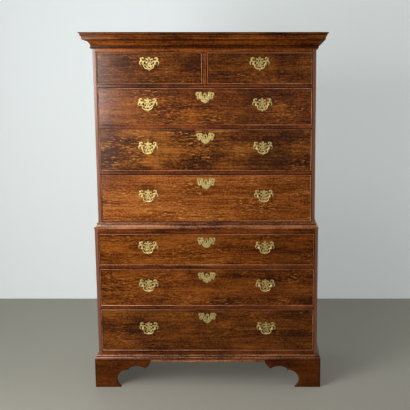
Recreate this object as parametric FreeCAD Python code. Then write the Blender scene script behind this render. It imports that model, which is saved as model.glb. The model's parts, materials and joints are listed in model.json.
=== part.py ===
"""Chest on chest: an upper chest of two short and three long drawers that stands in the waist
moulding of a lower chest of three long drawers on bracket feet.

Frame: millimetres, +Z up, front towards -Y, origin on the floor under the middle of the cornice.
Every timber board, moulding, brass fitting and lock part is a solid of its own. Pieces that seat
in each other are cut with the mating piece itself, so a change of one size carries both.
"""
import FreeCAD
import Part
import math
import os

Vector = FreeCAD.Vector

# ---------------------------------------------------------------- driving dimensions, millimetres
# Carcases
UPPER_WIDTH = 1070.0
UPPER_DEPTH = 520.0
WAIST_STEP = 16.5            # lower case stands out this far at the front and at each side
SIDE_THICKNESS = 16.0
BACK_THICKNESS = 10.0
BACK_REBATE = 8.0            # width of the rebate in a side that takes the back boards
BACK_BOARD_COUNT = 5
BACK_BOARD_GAP = 0.6
HOUSING_DEPTH = 6.0          # how far rails, runners and boards enter a side
HOUSING_SETBACK = 8.0        # a housing stops this far behind the front edge

# Heights, from the floor up
CASE_CLEARANCE = 130.0       # floor to the underside of the lower case
BASE_RAIL_HEIGHT = 56.0
LOWER_OPENINGS = (218.0, 192.0, 162.0)
LOWER_TOP_RAIL_HEIGHT = 22.0
WAIST_RAIL_HEIGHT = 35.0
UPPER_OPENINGS = (234.0, 206.0, 181.0, 152.0)
FRIEZE_HEIGHT = 80.0
RAIL_THICKNESS = 16.0
RAIL_DEPTH = 60.0
EDGE_RAIL_DEPTH = 22.0       # frieze, waist, top and base rails
CASE_BOARD_THICKNESS = 18.0
LOWER_TOP_THICKNESS = 22.0

# Dust frames
RUNNER_WIDTH = 34.0          # clear of the side
DUSTBOARD_THICKNESS = 6.0
DUSTBOARD_GROOVE = 6.0
CENTRE_RUNNER_WIDTH = 70.0
GUIDE_HEIGHT = 22.0
MUNTIN_WIDTH = 20.0
MUNTIN_TENON = 6.0
STOP_WIDTH = 42.0
STOP_LENGTH = 26.0
STOP_HEIGHT = 5.0

# Mouldings
CORNICE_HEIGHT = 72.0
CORNICE_PROJECTION = 54.0
CORNICE_RISE = 8.0           # cornice top above the top board
CORNICE_FILLET = 3.5         # cornice members from the top down; the cove takes what is left
CYMA_HEIGHT = 16.5
CYMA_DEPTH = 12.0
CYMA_QUIRK = 0.5
CORONA_HEIGHT = 12.0
CORONA_OVERHANG = 4.5
SOFFIT_HEIGHT = 2.0
SOFFIT_WIDTH = 7.0
COVE_FILLET = 3.0
ASTRAGAL_HEIGHT = 8.0
ASTRAGAL_DEPTH = 8.5
ASTRAGAL_BULGE = 1.7
ASTRAGAL_QUIRK = 1.0
WAIST_MOULDING_HEIGHT = 30.0
WAIST_MOULDING_OVERHANG = 2.0
WAIST_CLEARANCE = 0.5        # upper case to waist moulding
WAIST_FILLET = 6.0           # waist members from the bottom up
WAIST_QUIRK = 2.0
WAIST_BEAD_HEIGHT = 6.5
WAIST_BEAD_DEPTH = 6.0
BASE_MOULDING_HEIGHT = 25.0
BASE_MOULDING_PROJECTION = 18.0
BASE_TORUS_HEIGHT = 11.5
BASE_TORUS_STEP = 5.0
BASE_QUIRK = 1.0
BASE_FILLET_HEIGHT = 2.0
BASE_FILLET_DEPTH = 3.0

# Bracket feet
FOOT_HEIGHT = 145.0
BRACKET_THICKNESS = 18.0
BRACKET_SPAN = 281.0
SIDE_BRACKET_SPAN = 262.0
FOOT_TOE = 130.0             # width of a bracket on the floor
FOOT_ANKLE = 108.0           # narrowest width
FOOT_ANKLE_HEIGHT = 33.0
FOOT_CUSP = (168.0, 91.0)
FOOT_CUSP_STEP = 6.0
FOOT_LOBE_TOP = (196.0, 109.0)
FOOT_POINT_INSET = 29.0      # the last point stands this far short of the bracket's end
FOOT_POINT_HEIGHT = 98.0
APRON_HEIGHT = 13.0          # strip between two brackets, under the base moulding
REAR_BRACKET_SPAN = 150.0
BLOCK_SIZE = 38.0
BLOCK_LENGTH = 110.0
BLOCK_HEIGHT = 26.0
BLOCK_FLOOR_GAP = 3.0

# Drawers
SIDE_GAP = 2.0
TOP_GAP = 2.0
RUN_GAP = 0.3
FRONT_THICKNESS = 20.0
LAP = 6.0                    # wood left in front of the lapped dovetails
LINING_THICKNESS = 10.0
LINING_DROP = 4.0            # drawer sides stop this far below the front's top edge
BOTTOM_THICKNESS = 6.0
BOTTOM_RISE = 9.0
BOTTOM_GROOVE = 5.0
DRAWER_BACK_ROOM = 22.0
TAIL_PITCH = 36.0
PIN_WIDTH = 6.0
TAIL_SLOPE = 1.0 / 7.0
BEAD_WIDTH = 4.0
BEAD_PROUD = 3.0

# Brasses and locks
POST_SPACING = 60.0
PLATE_THICKNESS = 2.0
POST_REACH = 13.0            # drawer face to the bail's pivot
POST_BALL_RADIUS = 4.6
POST_NECK_RADIUS = 2.9
POST_SHANK_RADIUS = 2.5
POST_COLLAR_RADIUS = 4.5
POST_COLLAR_THICKNESS = 1.2
POST_NECK_HOLLOW = 0.4
POST_HOLE_CLEARANCE = 0.1
NUT_RADIUS = 6.0
NUT_THICKNESS = 3.0
BAIL_RADIUS = 1.9
BAIL_PIN_RADIUS = 1.5
BAIL_PIN_LENGTH = 4.0        # inside the ball
BAIL_PIN_CLEARANCE = 0.1
BAIL_DROP = 23.0
LONG_HANDLE_SPREADS = (590.0, 582.0, 578.0, 568.0, 559.0, 553.0)
HANDLE_RISE = 9.0            # post line above the middle of a long drawer
SHORT_HANDLE_RISE = 20.5
ESCUTCHEON_WIDTH = 90.0
ESCUTCHEON_THICKNESS = 1.6
KEYHOLE_DEPTH_BELOW_TOP = 35.0
KEYHOLE_RADIUS = 3.3
KEYHOLE_SLOT_WIDTH = 4.8
KEYHOLE_SLOT_LENGTH = 10.0
LOCK_WIDTH = 64.0
LOCK_HEIGHT = 50.0
LOCK_THICKNESS = 11.0
LOCK_WALL = 2.0
BOLT_WIDTH = 26.0
BOLT_THICKNESS = 5.0
BOLT_HEIGHT = 25.0
BOLT_CLEARANCE = 0.3
BOLT_THROW = 8.0
KEY_CHAMBER_WIDTH = 20.0

# ---------------------------------------------------------------- derived places
LOWER_WIDTH = UPPER_WIDTH + 2 * WAIST_STEP
BACK_Y = (UPPER_DEPTH + CORNICE_PROJECTION) / 2
UPPER_FRONT_Y = BACK_Y - UPPER_DEPTH
LOWER_FRONT_Y = UPPER_FRONT_Y - WAIST_STEP
BACK_INSIDE_Y = BACK_Y - BACK_THICKNESS


def stacked_levels(start, openings):
    """Bottom and top of each drawer opening, with a rail between one opening and the next."""
    levels = []
    z = start
    for height in openings:
        levels.append((z, z + height))
        z += height + RAIL_THICKNESS
    return levels


LOWER_LEVELS = stacked_levels(CASE_CLEARANCE + BASE_RAIL_HEIGHT, LOWER_OPENINGS)
LOWER_TOP_Z = LOWER_LEVELS[-1][1] + LOWER_TOP_RAIL_HEIGHT
UPPER_LEVELS = stacked_levels(LOWER_TOP_Z + WAIST_RAIL_HEIGHT, UPPER_OPENINGS)
UPPER_TOP_Z = UPPER_LEVELS[-1][1] + FRIEZE_HEIGHT
CORNICE_TOP_Z = UPPER_TOP_Z + CORNICE_RISE


# ---------------------------------------------------------------- shape helpers
def box(x0, x1, y0, y1, z0, z1):
    """A board between two corners."""
    return Part.makeBox(x1 - x0, y1 - y0, z1 - z0, Vector(x0, y0, z0))


def mirrored(shape):
    """The other hand of a piece, across the middle of the chest."""
    return shape.mirror(Vector(0, 0, 0), Vector(1, 0, 0))


def pair(shape):
    """A right-hand piece and its left-hand twin."""
    return [shape, mirrored(shape)]


def part_way(start, end, along, up):
    """A point inside the frame of two corners, at the given shares of its width and height."""
    return start[0] + (end[0] - start[0]) * along, start[1] + (end[1] - start[1]) * up


def outline_edges(start, steps, place):
    """Edges through an outline: a point is a straight run, a (through, end) pair is an arc."""
    edges = []
    here = start
    for step in steps:
        if isinstance(step[0], tuple):
            through, end = step
            edges.append(Part.Arc(place(*here), place(*through), place(*end)).toShape())
        else:
            end = step
            edges.append(Part.LineSegment(place(*here), place(*end)).toShape())
        here = end
    return edges


def outline_face(start, steps, place):
    """A flat face inside a closed outline."""
    return Part.Face(Part.Wire(outline_edges(start, steps + [start], place)))


def prism(points, z0, z1):
    """An upright prism over a plan outline."""
    corners = [Vector(x, y, z0) for x, y in points]
    return Part.Face(Part.makePolygon(corners + corners[:1])).extrude(Vector(0, 0, z1 - z0))


def solids(*pieces):
    """One node from separate solids."""
    loose = []
    for piece in pieces:
        loose.extend(piece.Solids)
    return Part.makeCompound(loose)


def save(name, *pieces):
    solids(*pieces).exportStep("parts/" + name + ".step")


# ---------------------------------------------------------------- mouldings
def mitred_moulding(start, steps, reach, half_width, front_y, base_z):
    """Front length and two returns of a moulding, mitred at the corners and square at the back."""
    span = half_width + reach
    front_face = outline_face(start, steps, lambda p, z: Vector(-span, front_y - p, base_z + z))
    front = front_face.extrude(Vector(2 * span, 0, 0))
    side_face = outline_face(start, steps, lambda p, z: Vector(half_width + p, front_y - reach, base_z + z))
    side = side_face.extrude(Vector(0, BACK_Y - front_y + reach, 0))
    top = base_z + 2 * CORNICE_HEIGHT
    inner = -2 * reach
    front_room = prism([(-half_width - inner, front_y - inner), (-span, front_y - reach),
                        (span, front_y - reach), (half_width + inner, front_y - inner)], base_z - 1, top)
    side_room = prism([(half_width + inner, front_y - inner), (span, front_y - reach),
                       (span, BACK_Y), (half_width + inner, BACK_Y)], base_z - 1, top)
    return [front.common(front_room)] + pair(side.common(side_room))


def cornice():
    """Fillet, cyma and corona over a cove, a fillet and a small astragal."""
    reach = CORNICE_PROJECTION
    top = CORNICE_HEIGHT
    cyma_top = (reach, top - CORNICE_FILLET)
    cyma_foot = (reach - CYMA_DEPTH, cyma_top[1] - CYMA_HEIGHT)
    cyma_middle = part_way(cyma_foot, cyma_top, 0.46, 0.515)
    corona_x = cyma_foot[0] - CYMA_QUIRK
    corona_z = cyma_foot[1] - CORONA_HEIGHT
    soffit_x = corona_x - CORONA_OVERHANG
    cove_top = (soffit_x - SOFFIT_WIDTH, corona_z - SOFFIT_HEIGHT)
    cove_foot = (ASTRAGAL_DEPTH - ASTRAGAL_QUIRK, ASTRAGAL_HEIGHT + COVE_FILLET)
    steps = [
        (ASTRAGAL_DEPTH, 0),
        ((ASTRAGAL_DEPTH + ASTRAGAL_BULGE, ASTRAGAL_HEIGHT / 2), (ASTRAGAL_DEPTH, ASTRAGAL_HEIGHT)),
        (cove_foot[0], ASTRAGAL_HEIGHT), cove_foot,
        (part_way(cove_foot, cove_top, 0.245, 0.52), cove_top),
        (soffit_x, cove_top[1]), (soffit_x, corona_z), (corona_x, corona_z), (corona_x, cyma_foot[1]),
        cyma_foot,
        (part_way(cyma_foot, cyma_top, 0.37, 0.28), cyma_middle),
        (part_way(cyma_foot, cyma_top, 0.58, 0.85), part_way(cyma_foot, cyma_top, 0.93, 1)),
        cyma_top, (reach, top), (0, top),
    ]
    return mitred_moulding((0, 0), steps, reach, UPPER_WIDTH / 2, UPPER_FRONT_Y, CORNICE_TOP_Z - top)


def waist_moulding():
    """Fillet, cove and bead that frame the foot of the upper chest and stand on the lower one."""
    reach = WAIST_STEP + WAIST_MOULDING_OVERHANG
    top = WAIST_MOULDING_HEIGHT
    cove_foot = (reach - WAIST_QUIRK, WAIST_FILLET)
    bead_foot = (WAIST_BEAD_DEPTH, top - WAIST_BEAD_HEIGHT)
    bead_top = (WAIST_CLEARANCE, top)
    steps = [
        (reach, 0), (reach, WAIST_FILLET), cove_foot,
        (part_way(cove_foot, bead_foot, 0.68, 0.37), bead_foot),
        (part_way(bead_foot, bead_top, -0.18, 0.5), part_way(bead_foot, bead_top, 0.36, 0.91)),
        bead_top,
    ]
    return mitred_moulding((WAIST_CLEARANCE, 0), steps, reach, UPPER_WIDTH / 2, UPPER_FRONT_Y, LOWER_TOP_Z)


def base_moulding():
    """Torus over an ovolo, planted round the foot of the lower chest."""
    reach = BASE_MOULDING_PROJECTION
    top = BASE_MOULDING_HEIGHT
    torus_middle = part_way((reach, 0), (reach - BASE_TORUS_STEP, BASE_TORUS_HEIGHT), 0.1, 0.35)
    torus_top = (reach - BASE_TORUS_STEP + BASE_QUIRK, BASE_TORUS_HEIGHT)
    ovolo_foot = (reach - BASE_TORUS_STEP, BASE_TORUS_HEIGHT + BASE_QUIRK)
    fillet = (BASE_FILLET_DEPTH, top - BASE_FILLET_HEIGHT)
    ovolo_top = (fillet[0] + BASE_QUIRK, fillet[1])
    steps = [
        (reach - BASE_QUIRK, 0), ((reach, BASE_TORUS_HEIGHT / 6), torus_middle),
        (part_way(torus_middle, torus_top, 0.25, 0.6), torus_top),
        (ovolo_foot[0], torus_top[1]), ovolo_foot,
        (part_way(ovolo_foot, ovolo_top, 0.1, 0.6), ovolo_top),
        fillet, (BASE_FILLET_DEPTH, top), (0, top),
    ]
    return mitred_moulding((0, 0), steps, reach, LOWER_WIDTH / 2, LOWER_FRONT_Y, FOOT_HEIGHT)


def aprons():
    """Strips under the base moulding that fill the front and the sides between two brackets."""
    half = LOWER_WIDTH / 2
    front_half = half + BRACKET_THICKNESS - BRACKET_SPAN
    corner_y = LOWER_FRONT_Y - BRACKET_THICKNESS
    low = FOOT_HEIGHT - APRON_HEIGHT
    front = box(-front_half, front_half, corner_y, LOWER_FRONT_Y, low, FOOT_HEIGHT)
    side = box(half, half + BRACKET_THICKNESS, corner_y + SIDE_BRACKET_SPAN, BACK_Y - SIDE_BRACKET_SPAN,
               low, FOOT_HEIGHT)
    return [front] + pair(side)


# ---------------------------------------------------------------- bracket feet
def bracket_outline(span):
    """Ogee bracket seen square on, from its outer corner: toe, ankle, cusp, lobe and point."""
    toe = (FOOT_TOE, 0)
    ankle = (FOOT_ANKLE, FOOT_ANKLE_HEIGHT)
    point = (span - FOOT_POINT_INSET, FOOT_POINT_HEIGHT)
    end = (span, FOOT_HEIGHT - APRON_HEIGHT)
    return (0, 0), [
        toe,
        (part_way(toe, ankle, 0.68, 0.5), ankle),
        (part_way(ankle, FOOT_CUSP, 0.22, 0.67), FOOT_CUSP),
        (FOOT_CUSP[0], FOOT_CUSP[1] + FOOT_CUSP_STEP),
        (FOOT_LOBE_TOP, point),
        (part_way(point, end, 0.5, 0.35), end),
        (span, FOOT_HEIGHT), (0, FOOT_HEIGHT),
    ]


def front_foot():
    """Right-hand front foot: mitred front and side brackets with their glue blocks."""
    half = LOWER_WIDTH / 2
    corner_x = half + BRACKET_THICKNESS
    corner_y = LOWER_FRONT_Y - BRACKET_THICKNESS
    start, steps = bracket_outline(BRACKET_SPAN)
    front = outline_face(start, steps, lambda s, z: Vector(corner_x - s, corner_y, z))
    front = front.extrude(Vector(0, BRACKET_THICKNESS, 0))
    start, steps = bracket_outline(SIDE_BRACKET_SPAN)
    side = outline_face(start, steps, lambda s, z: Vector(corner_x, corner_y + s, z))
    side = side.extrude(Vector(-BRACKET_THICKNESS, 0, 0))
    mitre = prism([(corner_x, corner_y), (half, LOWER_FRONT_Y), (corner_x, LOWER_FRONT_Y)],
                  -1, FOOT_HEIGHT + 1)
    front = front.cut(mitre)
    side = side.common(prism([(corner_x, corner_y), (half, LOWER_FRONT_Y),
                              (half, BACK_Y), (corner_x, BACK_Y)], -1, FOOT_HEIGHT + 1))
    upright = box(half - BLOCK_SIZE, half, LOWER_FRONT_Y, LOWER_FRONT_Y + BLOCK_SIZE,
                  BLOCK_FLOOR_GAP, CASE_CLEARANCE)
    low = CASE_CLEARANCE - BLOCK_HEIGHT
    along_front = box(half - BLOCK_SIZE - BLOCK_LENGTH, half - BLOCK_SIZE,
                      LOWER_FRONT_Y, LOWER_FRONT_Y + BLOCK_HEIGHT, low, CASE_CLEARANCE)
    along_side = box(half - BLOCK_HEIGHT, half, LOWER_FRONT_Y + BLOCK_SIZE,
                     LOWER_FRONT_Y + BLOCK_SIZE + BLOCK_LENGTH, low, CASE_CLEARANCE)
    return [front, side, upright, along_front, along_side]


def rear_foot():
    """Right-hand rear foot: an ogee side bracket and a plain raked rear bracket."""
    half = LOWER_WIDTH / 2
    start, steps = bracket_outline(SIDE_BRACKET_SPAN)
    side = outline_face(start, steps, lambda s, z: Vector(half, BACK_Y - s, z))
    side = side.extrude(Vector(BRACKET_THICKNESS, 0, 0))
    rear = outline_face((0, 0), [(FOOT_ANKLE, 0), (REAR_BRACKET_SPAN, CASE_CLEARANCE), (0, CASE_CLEARANCE)],
                        lambda s, z: Vector(half - s, BACK_Y, z))
    rear = rear.extrude(Vector(0, -BRACKET_THICKNESS, 0))
    block_back = BACK_Y - BRACKET_THICKNESS
    upright = box(half - BLOCK_SIZE, half, block_back - BLOCK_SIZE, block_back,
                  BLOCK_FLOOR_GAP, CASE_CLEARANCE)
    along_side = box(half - BLOCK_HEIGHT, half, block_back - BLOCK_SIZE - BLOCK_LENGTH,
                     block_back - BLOCK_SIZE, CASE_CLEARANCE - BLOCK_HEIGHT, CASE_CLEARANCE)
    return [side, rear, upright, along_side]


# ---------------------------------------------------------------- carcases
def case_rail(half_inside, front_y, depth, z0, z1):
    """A front rail with a stub tenon at each end that stops behind the front edge of the side."""
    rail = box(-half_inside, half_inside, front_y, front_y + depth, z0, z1)
    tenons = box(-half_inside - HOUSING_DEPTH, half_inside + HOUSING_DEPTH,
                 front_y + HOUSING_SETBACK, front_y + depth, z0, z1)
    return rail.fuse(tenons).removeSplitter()


def case_board(half_inside, front_y, z0, thickness):
    """A top or bottom board behind its edge rail, housed in both sides."""
    return box(-half_inside - HOUSING_DEPTH, half_inside + HOUSING_DEPTH,
               front_y + EDGE_RAIL_DEPTH, BACK_INSIDE_Y, z0, z0 + thickness)


def case_sides(half_width, front_y, z0, z1, members):
    """Both sides, rebated for the back and housed for everything that seats in them."""
    side = box(half_width - SIDE_THICKNESS, half_width, front_y, BACK_Y, z0, z1)
    rebate = box(half_width - SIDE_THICKNESS, half_width - SIDE_THICKNESS + BACK_REBATE,
                 BACK_INSIDE_Y, BACK_Y, z0, z1)
    side = side.cut(rebate)
    for member in members:
        side = side.cut(member)
    return pair(side)


def back_boards(half_inside, z0, z1):
    """Upright back boards that fill the rebate between the two sides."""
    half = half_inside + BACK_REBATE
    pitch = 2 * half / BACK_BOARD_COUNT
    boards = []
    for n in range(BACK_BOARD_COUNT):
        left = -half + n * pitch
        right = left + pitch - (BACK_BOARD_GAP if n < BACK_BOARD_COUNT - 1 else 0)
        boards.append(box(left, right, BACK_INSIDE_Y, BACK_Y, z0, z1))
    return boards


def side_runners(half_inside, front_y, z):
    """The pair of drawer runners of one level, housed in the sides."""
    runner = box(half_inside - RUNNER_WIDTH, half_inside + HOUSING_DEPTH, front_y, BACK_INSIDE_Y,
                 z, z + RAIL_THICKNESS)
    return pair(runner)


def dustboard(x0, x1, front_y, z):
    """A thin panel that enters the groove of the member on each of three sides."""
    middle = z + RAIL_THICKNESS / 2
    return box(x0 - DUSTBOARD_GROOVE, x1 + DUSTBOARD_GROOVE, front_y - DUSTBOARD_GROOVE, BACK_INSIDE_Y,
               middle - DUSTBOARD_THICKNESS / 2, middle + DUSTBOARD_THICKNESS / 2)


def drawer_stops(centre_x, spread, front_y, z):
    """Two small blocks on a rail that the back of the drawer front meets."""
    y = front_y + FRONT_THICKNESS + RUN_GAP
    stops = []
    for x in (centre_x - spread / 2, centre_x + spread / 2):
        stops.append(box(x - STOP_WIDTH / 2, x + STOP_WIDTH / 2, y, y + STOP_LENGTH, z, z + STOP_HEIGHT))
    return stops


def bolt_mortise(centre_x, front_y, z):
    """The pocket in the underside of a rail that a lock bolt shoots into."""
    half = BOLT_WIDTH / 2 + 1
    y = front_y + FRONT_THICKNESS - LOCK_WALL - BOLT_THICKNESS - 2 * BOLT_CLEARANCE
    return box(centre_x - half, centre_x + half, y - 1, y + BOLT_THICKNESS + 2, z, z + BOLT_THROW + 1)


def lower_case():
    """Sides, boards, rails, dust frames and back of the lower chest."""
    half = LOWER_WIDTH / 2
    inside = half - SIDE_THICKNESS
    front = LOWER_FRONT_Y
    base_rail = case_rail(inside, front, EDGE_RAIL_DEPTH, CASE_CLEARANCE, LOWER_LEVELS[0][0])
    top_rail = case_rail(inside, front, EDGE_RAIL_DEPTH, LOWER_LEVELS[-1][1], LOWER_TOP_Z)
    rails = [base_rail]
    frames = []
    rail_back = front + RAIL_DEPTH
    for below, above in zip(LOWER_LEVELS, LOWER_LEVELS[1:]):
        z = below[1]
        panel = dustboard(-inside + RUNNER_WIDTH, inside - RUNNER_WIDTH, rail_back, z)
        rails.append(case_rail(inside, front, RAIL_DEPTH, z, above[0]).cut(panel))
        frames += [runner.cut(panel) for runner in side_runners(inside, rail_back, z)] + [panel]
    rails.append(top_rail)
    rails = [rail.cut(bolt_mortise(0, front, level[1]))
             for rail, level in zip(rails, [(0, 0)] + LOWER_LEVELS)]
    boards = [case_board(inside, front, LOWER_LEVELS[0][0] - CASE_BOARD_THICKNESS, CASE_BOARD_THICKNESS),
              case_board(inside, front, LOWER_TOP_Z - LOWER_TOP_THICKNESS, LOWER_TOP_THICKNESS)]
    sides = case_sides(half, front, CASE_CLEARANCE, LOWER_TOP_Z, rails + frames + boards)
    stops = []
    for level in LOWER_LEVELS:
        stops += drawer_stops(0, LOWER_WIDTH / 2, front, level[0])
    back = back_boards(inside, CASE_CLEARANCE, LOWER_TOP_Z)
    return {"sides": sides, "boards": boards, "rails": rails, "dust_frames": frames + stops,
            "back_boards": back}


def upper_case():
    """Sides, boards, rails, muntin, dust frames and back of the upper chest."""
    half = UPPER_WIDTH / 2
    inside = half - SIDE_THICKNESS
    front = UPPER_FRONT_Y
    rail_back = front + RAIL_DEPTH
    edge_back = front + EDGE_RAIL_DEPTH
    rails = [case_rail(inside, front, EDGE_RAIL_DEPTH, LOWER_TOP_Z, UPPER_LEVELS[0][0])]
    frames = []
    short_level = UPPER_LEVELS[-1]
    for below, above in zip(UPPER_LEVELS, UPPER_LEVELS[1:]):
        z = below[1]
        half_centre = CENTRE_RUNNER_WIDTH / 2
        if above is short_level:
            panels = pair(dustboard(half_centre, inside - RUNNER_WIDTH, rail_back, z))
            centre = box(-half_centre, half_centre, rail_back, BACK_INSIDE_Y, z, above[0])
            frames.append(centre.cut(panels[0]).cut(panels[1]))
        else:
            panels = [dustboard(-inside + RUNNER_WIDTH, inside - RUNNER_WIDTH, rail_back, z)]
        rail = case_rail(inside, front, RAIL_DEPTH, z, above[0])
        runners = side_runners(inside, rail_back, z)
        for panel in panels:
            rail = rail.cut(panel)
            runners = [runner.cut(panel) for runner in runners]
        rails.append(rail)
        frames += runners + panels
    rails.append(case_rail(inside, front, EDGE_RAIL_DEPTH, short_level[1], UPPER_TOP_Z))
    for n, level in enumerate(UPPER_LEVELS, 1):
        for lock_x in (-SHORT_CENTRE_X, SHORT_CENTRE_X) if level is short_level else (0,):
            rails[n] = rails[n].cut(bolt_mortise(lock_x, front, level[1]))
    muntin = box(-MUNTIN_WIDTH / 2, MUNTIN_WIDTH / 2, front, rail_back, short_level[0], short_level[1])
    tenon = box(-MUNTIN_WIDTH / 2, MUNTIN_WIDTH / 2, front + HOUSING_SETBACK, edge_back,
                short_level[0] - MUNTIN_TENON, short_level[1] + MUNTIN_TENON)
    muntin = muntin.fuse(tenon).removeSplitter()
    rails[-2] = rails[-2].cut(muntin)
    rails[-1] = rails[-1].cut(muntin)
    guide = box(-MUNTIN_WIDTH / 2, MUNTIN_WIDTH / 2, rail_back, BACK_INSIDE_Y,
                short_level[0], short_level[0] + GUIDE_HEIGHT)
    kickers = side_runners(inside, edge_back, short_level[1])
    kickers.append(box(-CENTRE_RUNNER_WIDTH / 2, CENTRE_RUNNER_WIDTH / 2, edge_back, BACK_INSIDE_Y,
                       short_level[1], short_level[1] + RAIL_THICKNESS).cut(muntin))
    boards = [case_board(inside, front, UPPER_LEVELS[0][0] - CASE_BOARD_THICKNESS, CASE_BOARD_THICKNESS),
              case_board(inside, front, UPPER_TOP_Z - CASE_BOARD_THICKNESS, CASE_BOARD_THICKNESS)]
    sides = case_sides(half, front, LOWER_TOP_Z, UPPER_TOP_Z, rails + frames + kickers + boards)
    stops = []
    for level in UPPER_LEVELS[:-1]:
        stops += drawer_stops(0, UPPER_WIDTH / 2, front, level[0])
    for centre_x in (-SHORT_CENTRE_X, SHORT_CENTRE_X):
        stops += drawer_stops(centre_x, UPPER_WIDTH / 4, front, short_level[0])
    back = back_boards(inside, LOWER_TOP_Z, UPPER_TOP_Z)
    return {"sides": sides, "boards": boards, "rails": rails + [muntin],
            "dust_frames": frames + kickers + [guide] + stops, "back_boards": back}


SHORT_OPENING = UPPER_WIDTH / 2 - SIDE_THICKNESS - MUNTIN_WIDTH / 2
SHORT_CENTRE_X = MUNTIN_WIDTH / 2 + SHORT_OPENING / 2


# ---------------------------------------------------------------- drawers
def dovetail_tails(x0, x1, y_shoulder, y_end, z0, z1):
    """The row of tails on one end of a drawer side: each widens towards its end."""
    count = max(2, round((z1 - z0) / TAIL_PITCH))
    pitch = (z1 - z0) / count
    end_half = (pitch - PIN_WIDTH) / 2
    root_half = end_half - abs(y_end - y_shoulder) * TAIL_SLOPE
    tails = []
    for n in range(count):
        z = z0 + (n + 0.5) * pitch
        corners = [Vector(x0, y_shoulder, z - root_half), Vector(x0, y_end, z - end_half),
                   Vector(x0, y_end, z + end_half), Vector(x0, y_shoulder, z + root_half)]
        tails.append(Part.Face(Part.makePolygon(corners + corners[:1])).extrude(Vector(x1 - x0, 0, 0)))
    return tails


def cock_beads(width, centre_x, face_y, z0, z1):
    """Four mitred strips with a round nose let into the edges of a drawer front."""
    nose = BEAD_WIDTH / 2
    x0 = centre_x - width / 2
    x1 = centre_x + width / 2
    back = face_y + LAP
    tip = face_y - BEAD_PROUD

    def section(place):
        return outline_face((0, back), [(0, tip + nose), ((nose, tip), (BEAD_WIDTH, tip + nose)),
                                        (BEAD_WIDTH, back)], place)

    def room(corners):
        points = [Vector(x, tip - 1, z) for x, z in corners]
        return Part.Face(Part.makePolygon(points + points[:1])).extrude(Vector(0, back - tip + 2, 0))

    w = BEAD_WIDTH
    low = section(lambda a, y: Vector(x0, y, z0 + a)).extrude(Vector(width, 0, 0))
    high = section(lambda a, y: Vector(x0, y, z1 - a)).extrude(Vector(width, 0, 0))
    left = section(lambda a, y: Vector(x0 + a, y, z0)).extrude(Vector(0, 0, z1 - z0))
    right = section(lambda a, y: Vector(x1 - a, y, z0)).extrude(Vector(0, 0, z1 - z0))
    return [low.common(room([(x0, z0), (x1, z0), (x1 - w, z0 + w), (x0 + w, z0 + w)])),
            high.common(room([(x0, z1), (x1, z1), (x1 - w, z1 - w), (x0 + w, z1 - w)])),
            left.common(room([(x0, z0), (x0 + w, z0 + w), (x0 + w, z1 - w), (x0, z1)])),
            right.common(room([(x1, z0), (x1 - w, z0 + w), (x1 - w, z1 - w), (x1, z1)]))]


def keyhole(centre_x, z, y0, y1):
    """A round hole over a slot, cut from y0 to y1."""
    along = Vector(0, y1 - y0, 0)
    half = KEYHOLE_SLOT_WIDTH / 2
    slot = box(centre_x - half, centre_x + half, y0, y1, z - KEYHOLE_SLOT_LENGTH, z)
    round_part = Part.makeCylinder(KEYHOLE_RADIUS, along.Length, Vector(centre_x, y0, z), along)
    return slot.fuse(round_part).removeSplitter()


def lock(centre_x, inside_y, top_z):
    """Lock case let into the back of a drawer front, with its selvedge, and the bolt at rest in it."""
    x0 = centre_x - LOCK_WIDTH / 2
    x1 = centre_x + LOCK_WIDTH / 2
    mortise = box(x0, x1, inside_y - LOCK_THICKNESS, inside_y, top_z - LOCK_HEIGHT, top_z)
    bolt_y1 = inside_y - LOCK_WALL - BOLT_CLEARANCE
    bolt_y0 = bolt_y1 - BOLT_THICKNESS
    ledge_z = top_z - BOLT_CLEARANCE - BOLT_HEIGHT - RUN_GAP
    bolt = box(centre_x - BOLT_WIDTH / 2, centre_x + BOLT_WIDTH / 2, bolt_y0, bolt_y1,
               ledge_z + RUN_GAP, ledge_z + RUN_GAP + BOLT_HEIGHT)
    bolt_room = box(centre_x - BOLT_WIDTH / 2 - BOLT_CLEARANCE, centre_x + BOLT_WIDTH / 2 + BOLT_CLEARANCE,
                    bolt_y0 - BOLT_CLEARANCE, bolt_y1 + BOLT_CLEARANCE, ledge_z, top_z + 1)
    key_room = box(centre_x - KEY_CHAMBER_WIDTH / 2, centre_x + KEY_CHAMBER_WIDTH / 2,
                   inside_y - LOCK_THICKNESS, inside_y - LOCK_WALL, top_z - LOCK_HEIGHT + LOCK_WALL, ledge_z)
    return mortise, mortise.cut(bolt_room).cut(key_room), bolt


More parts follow.
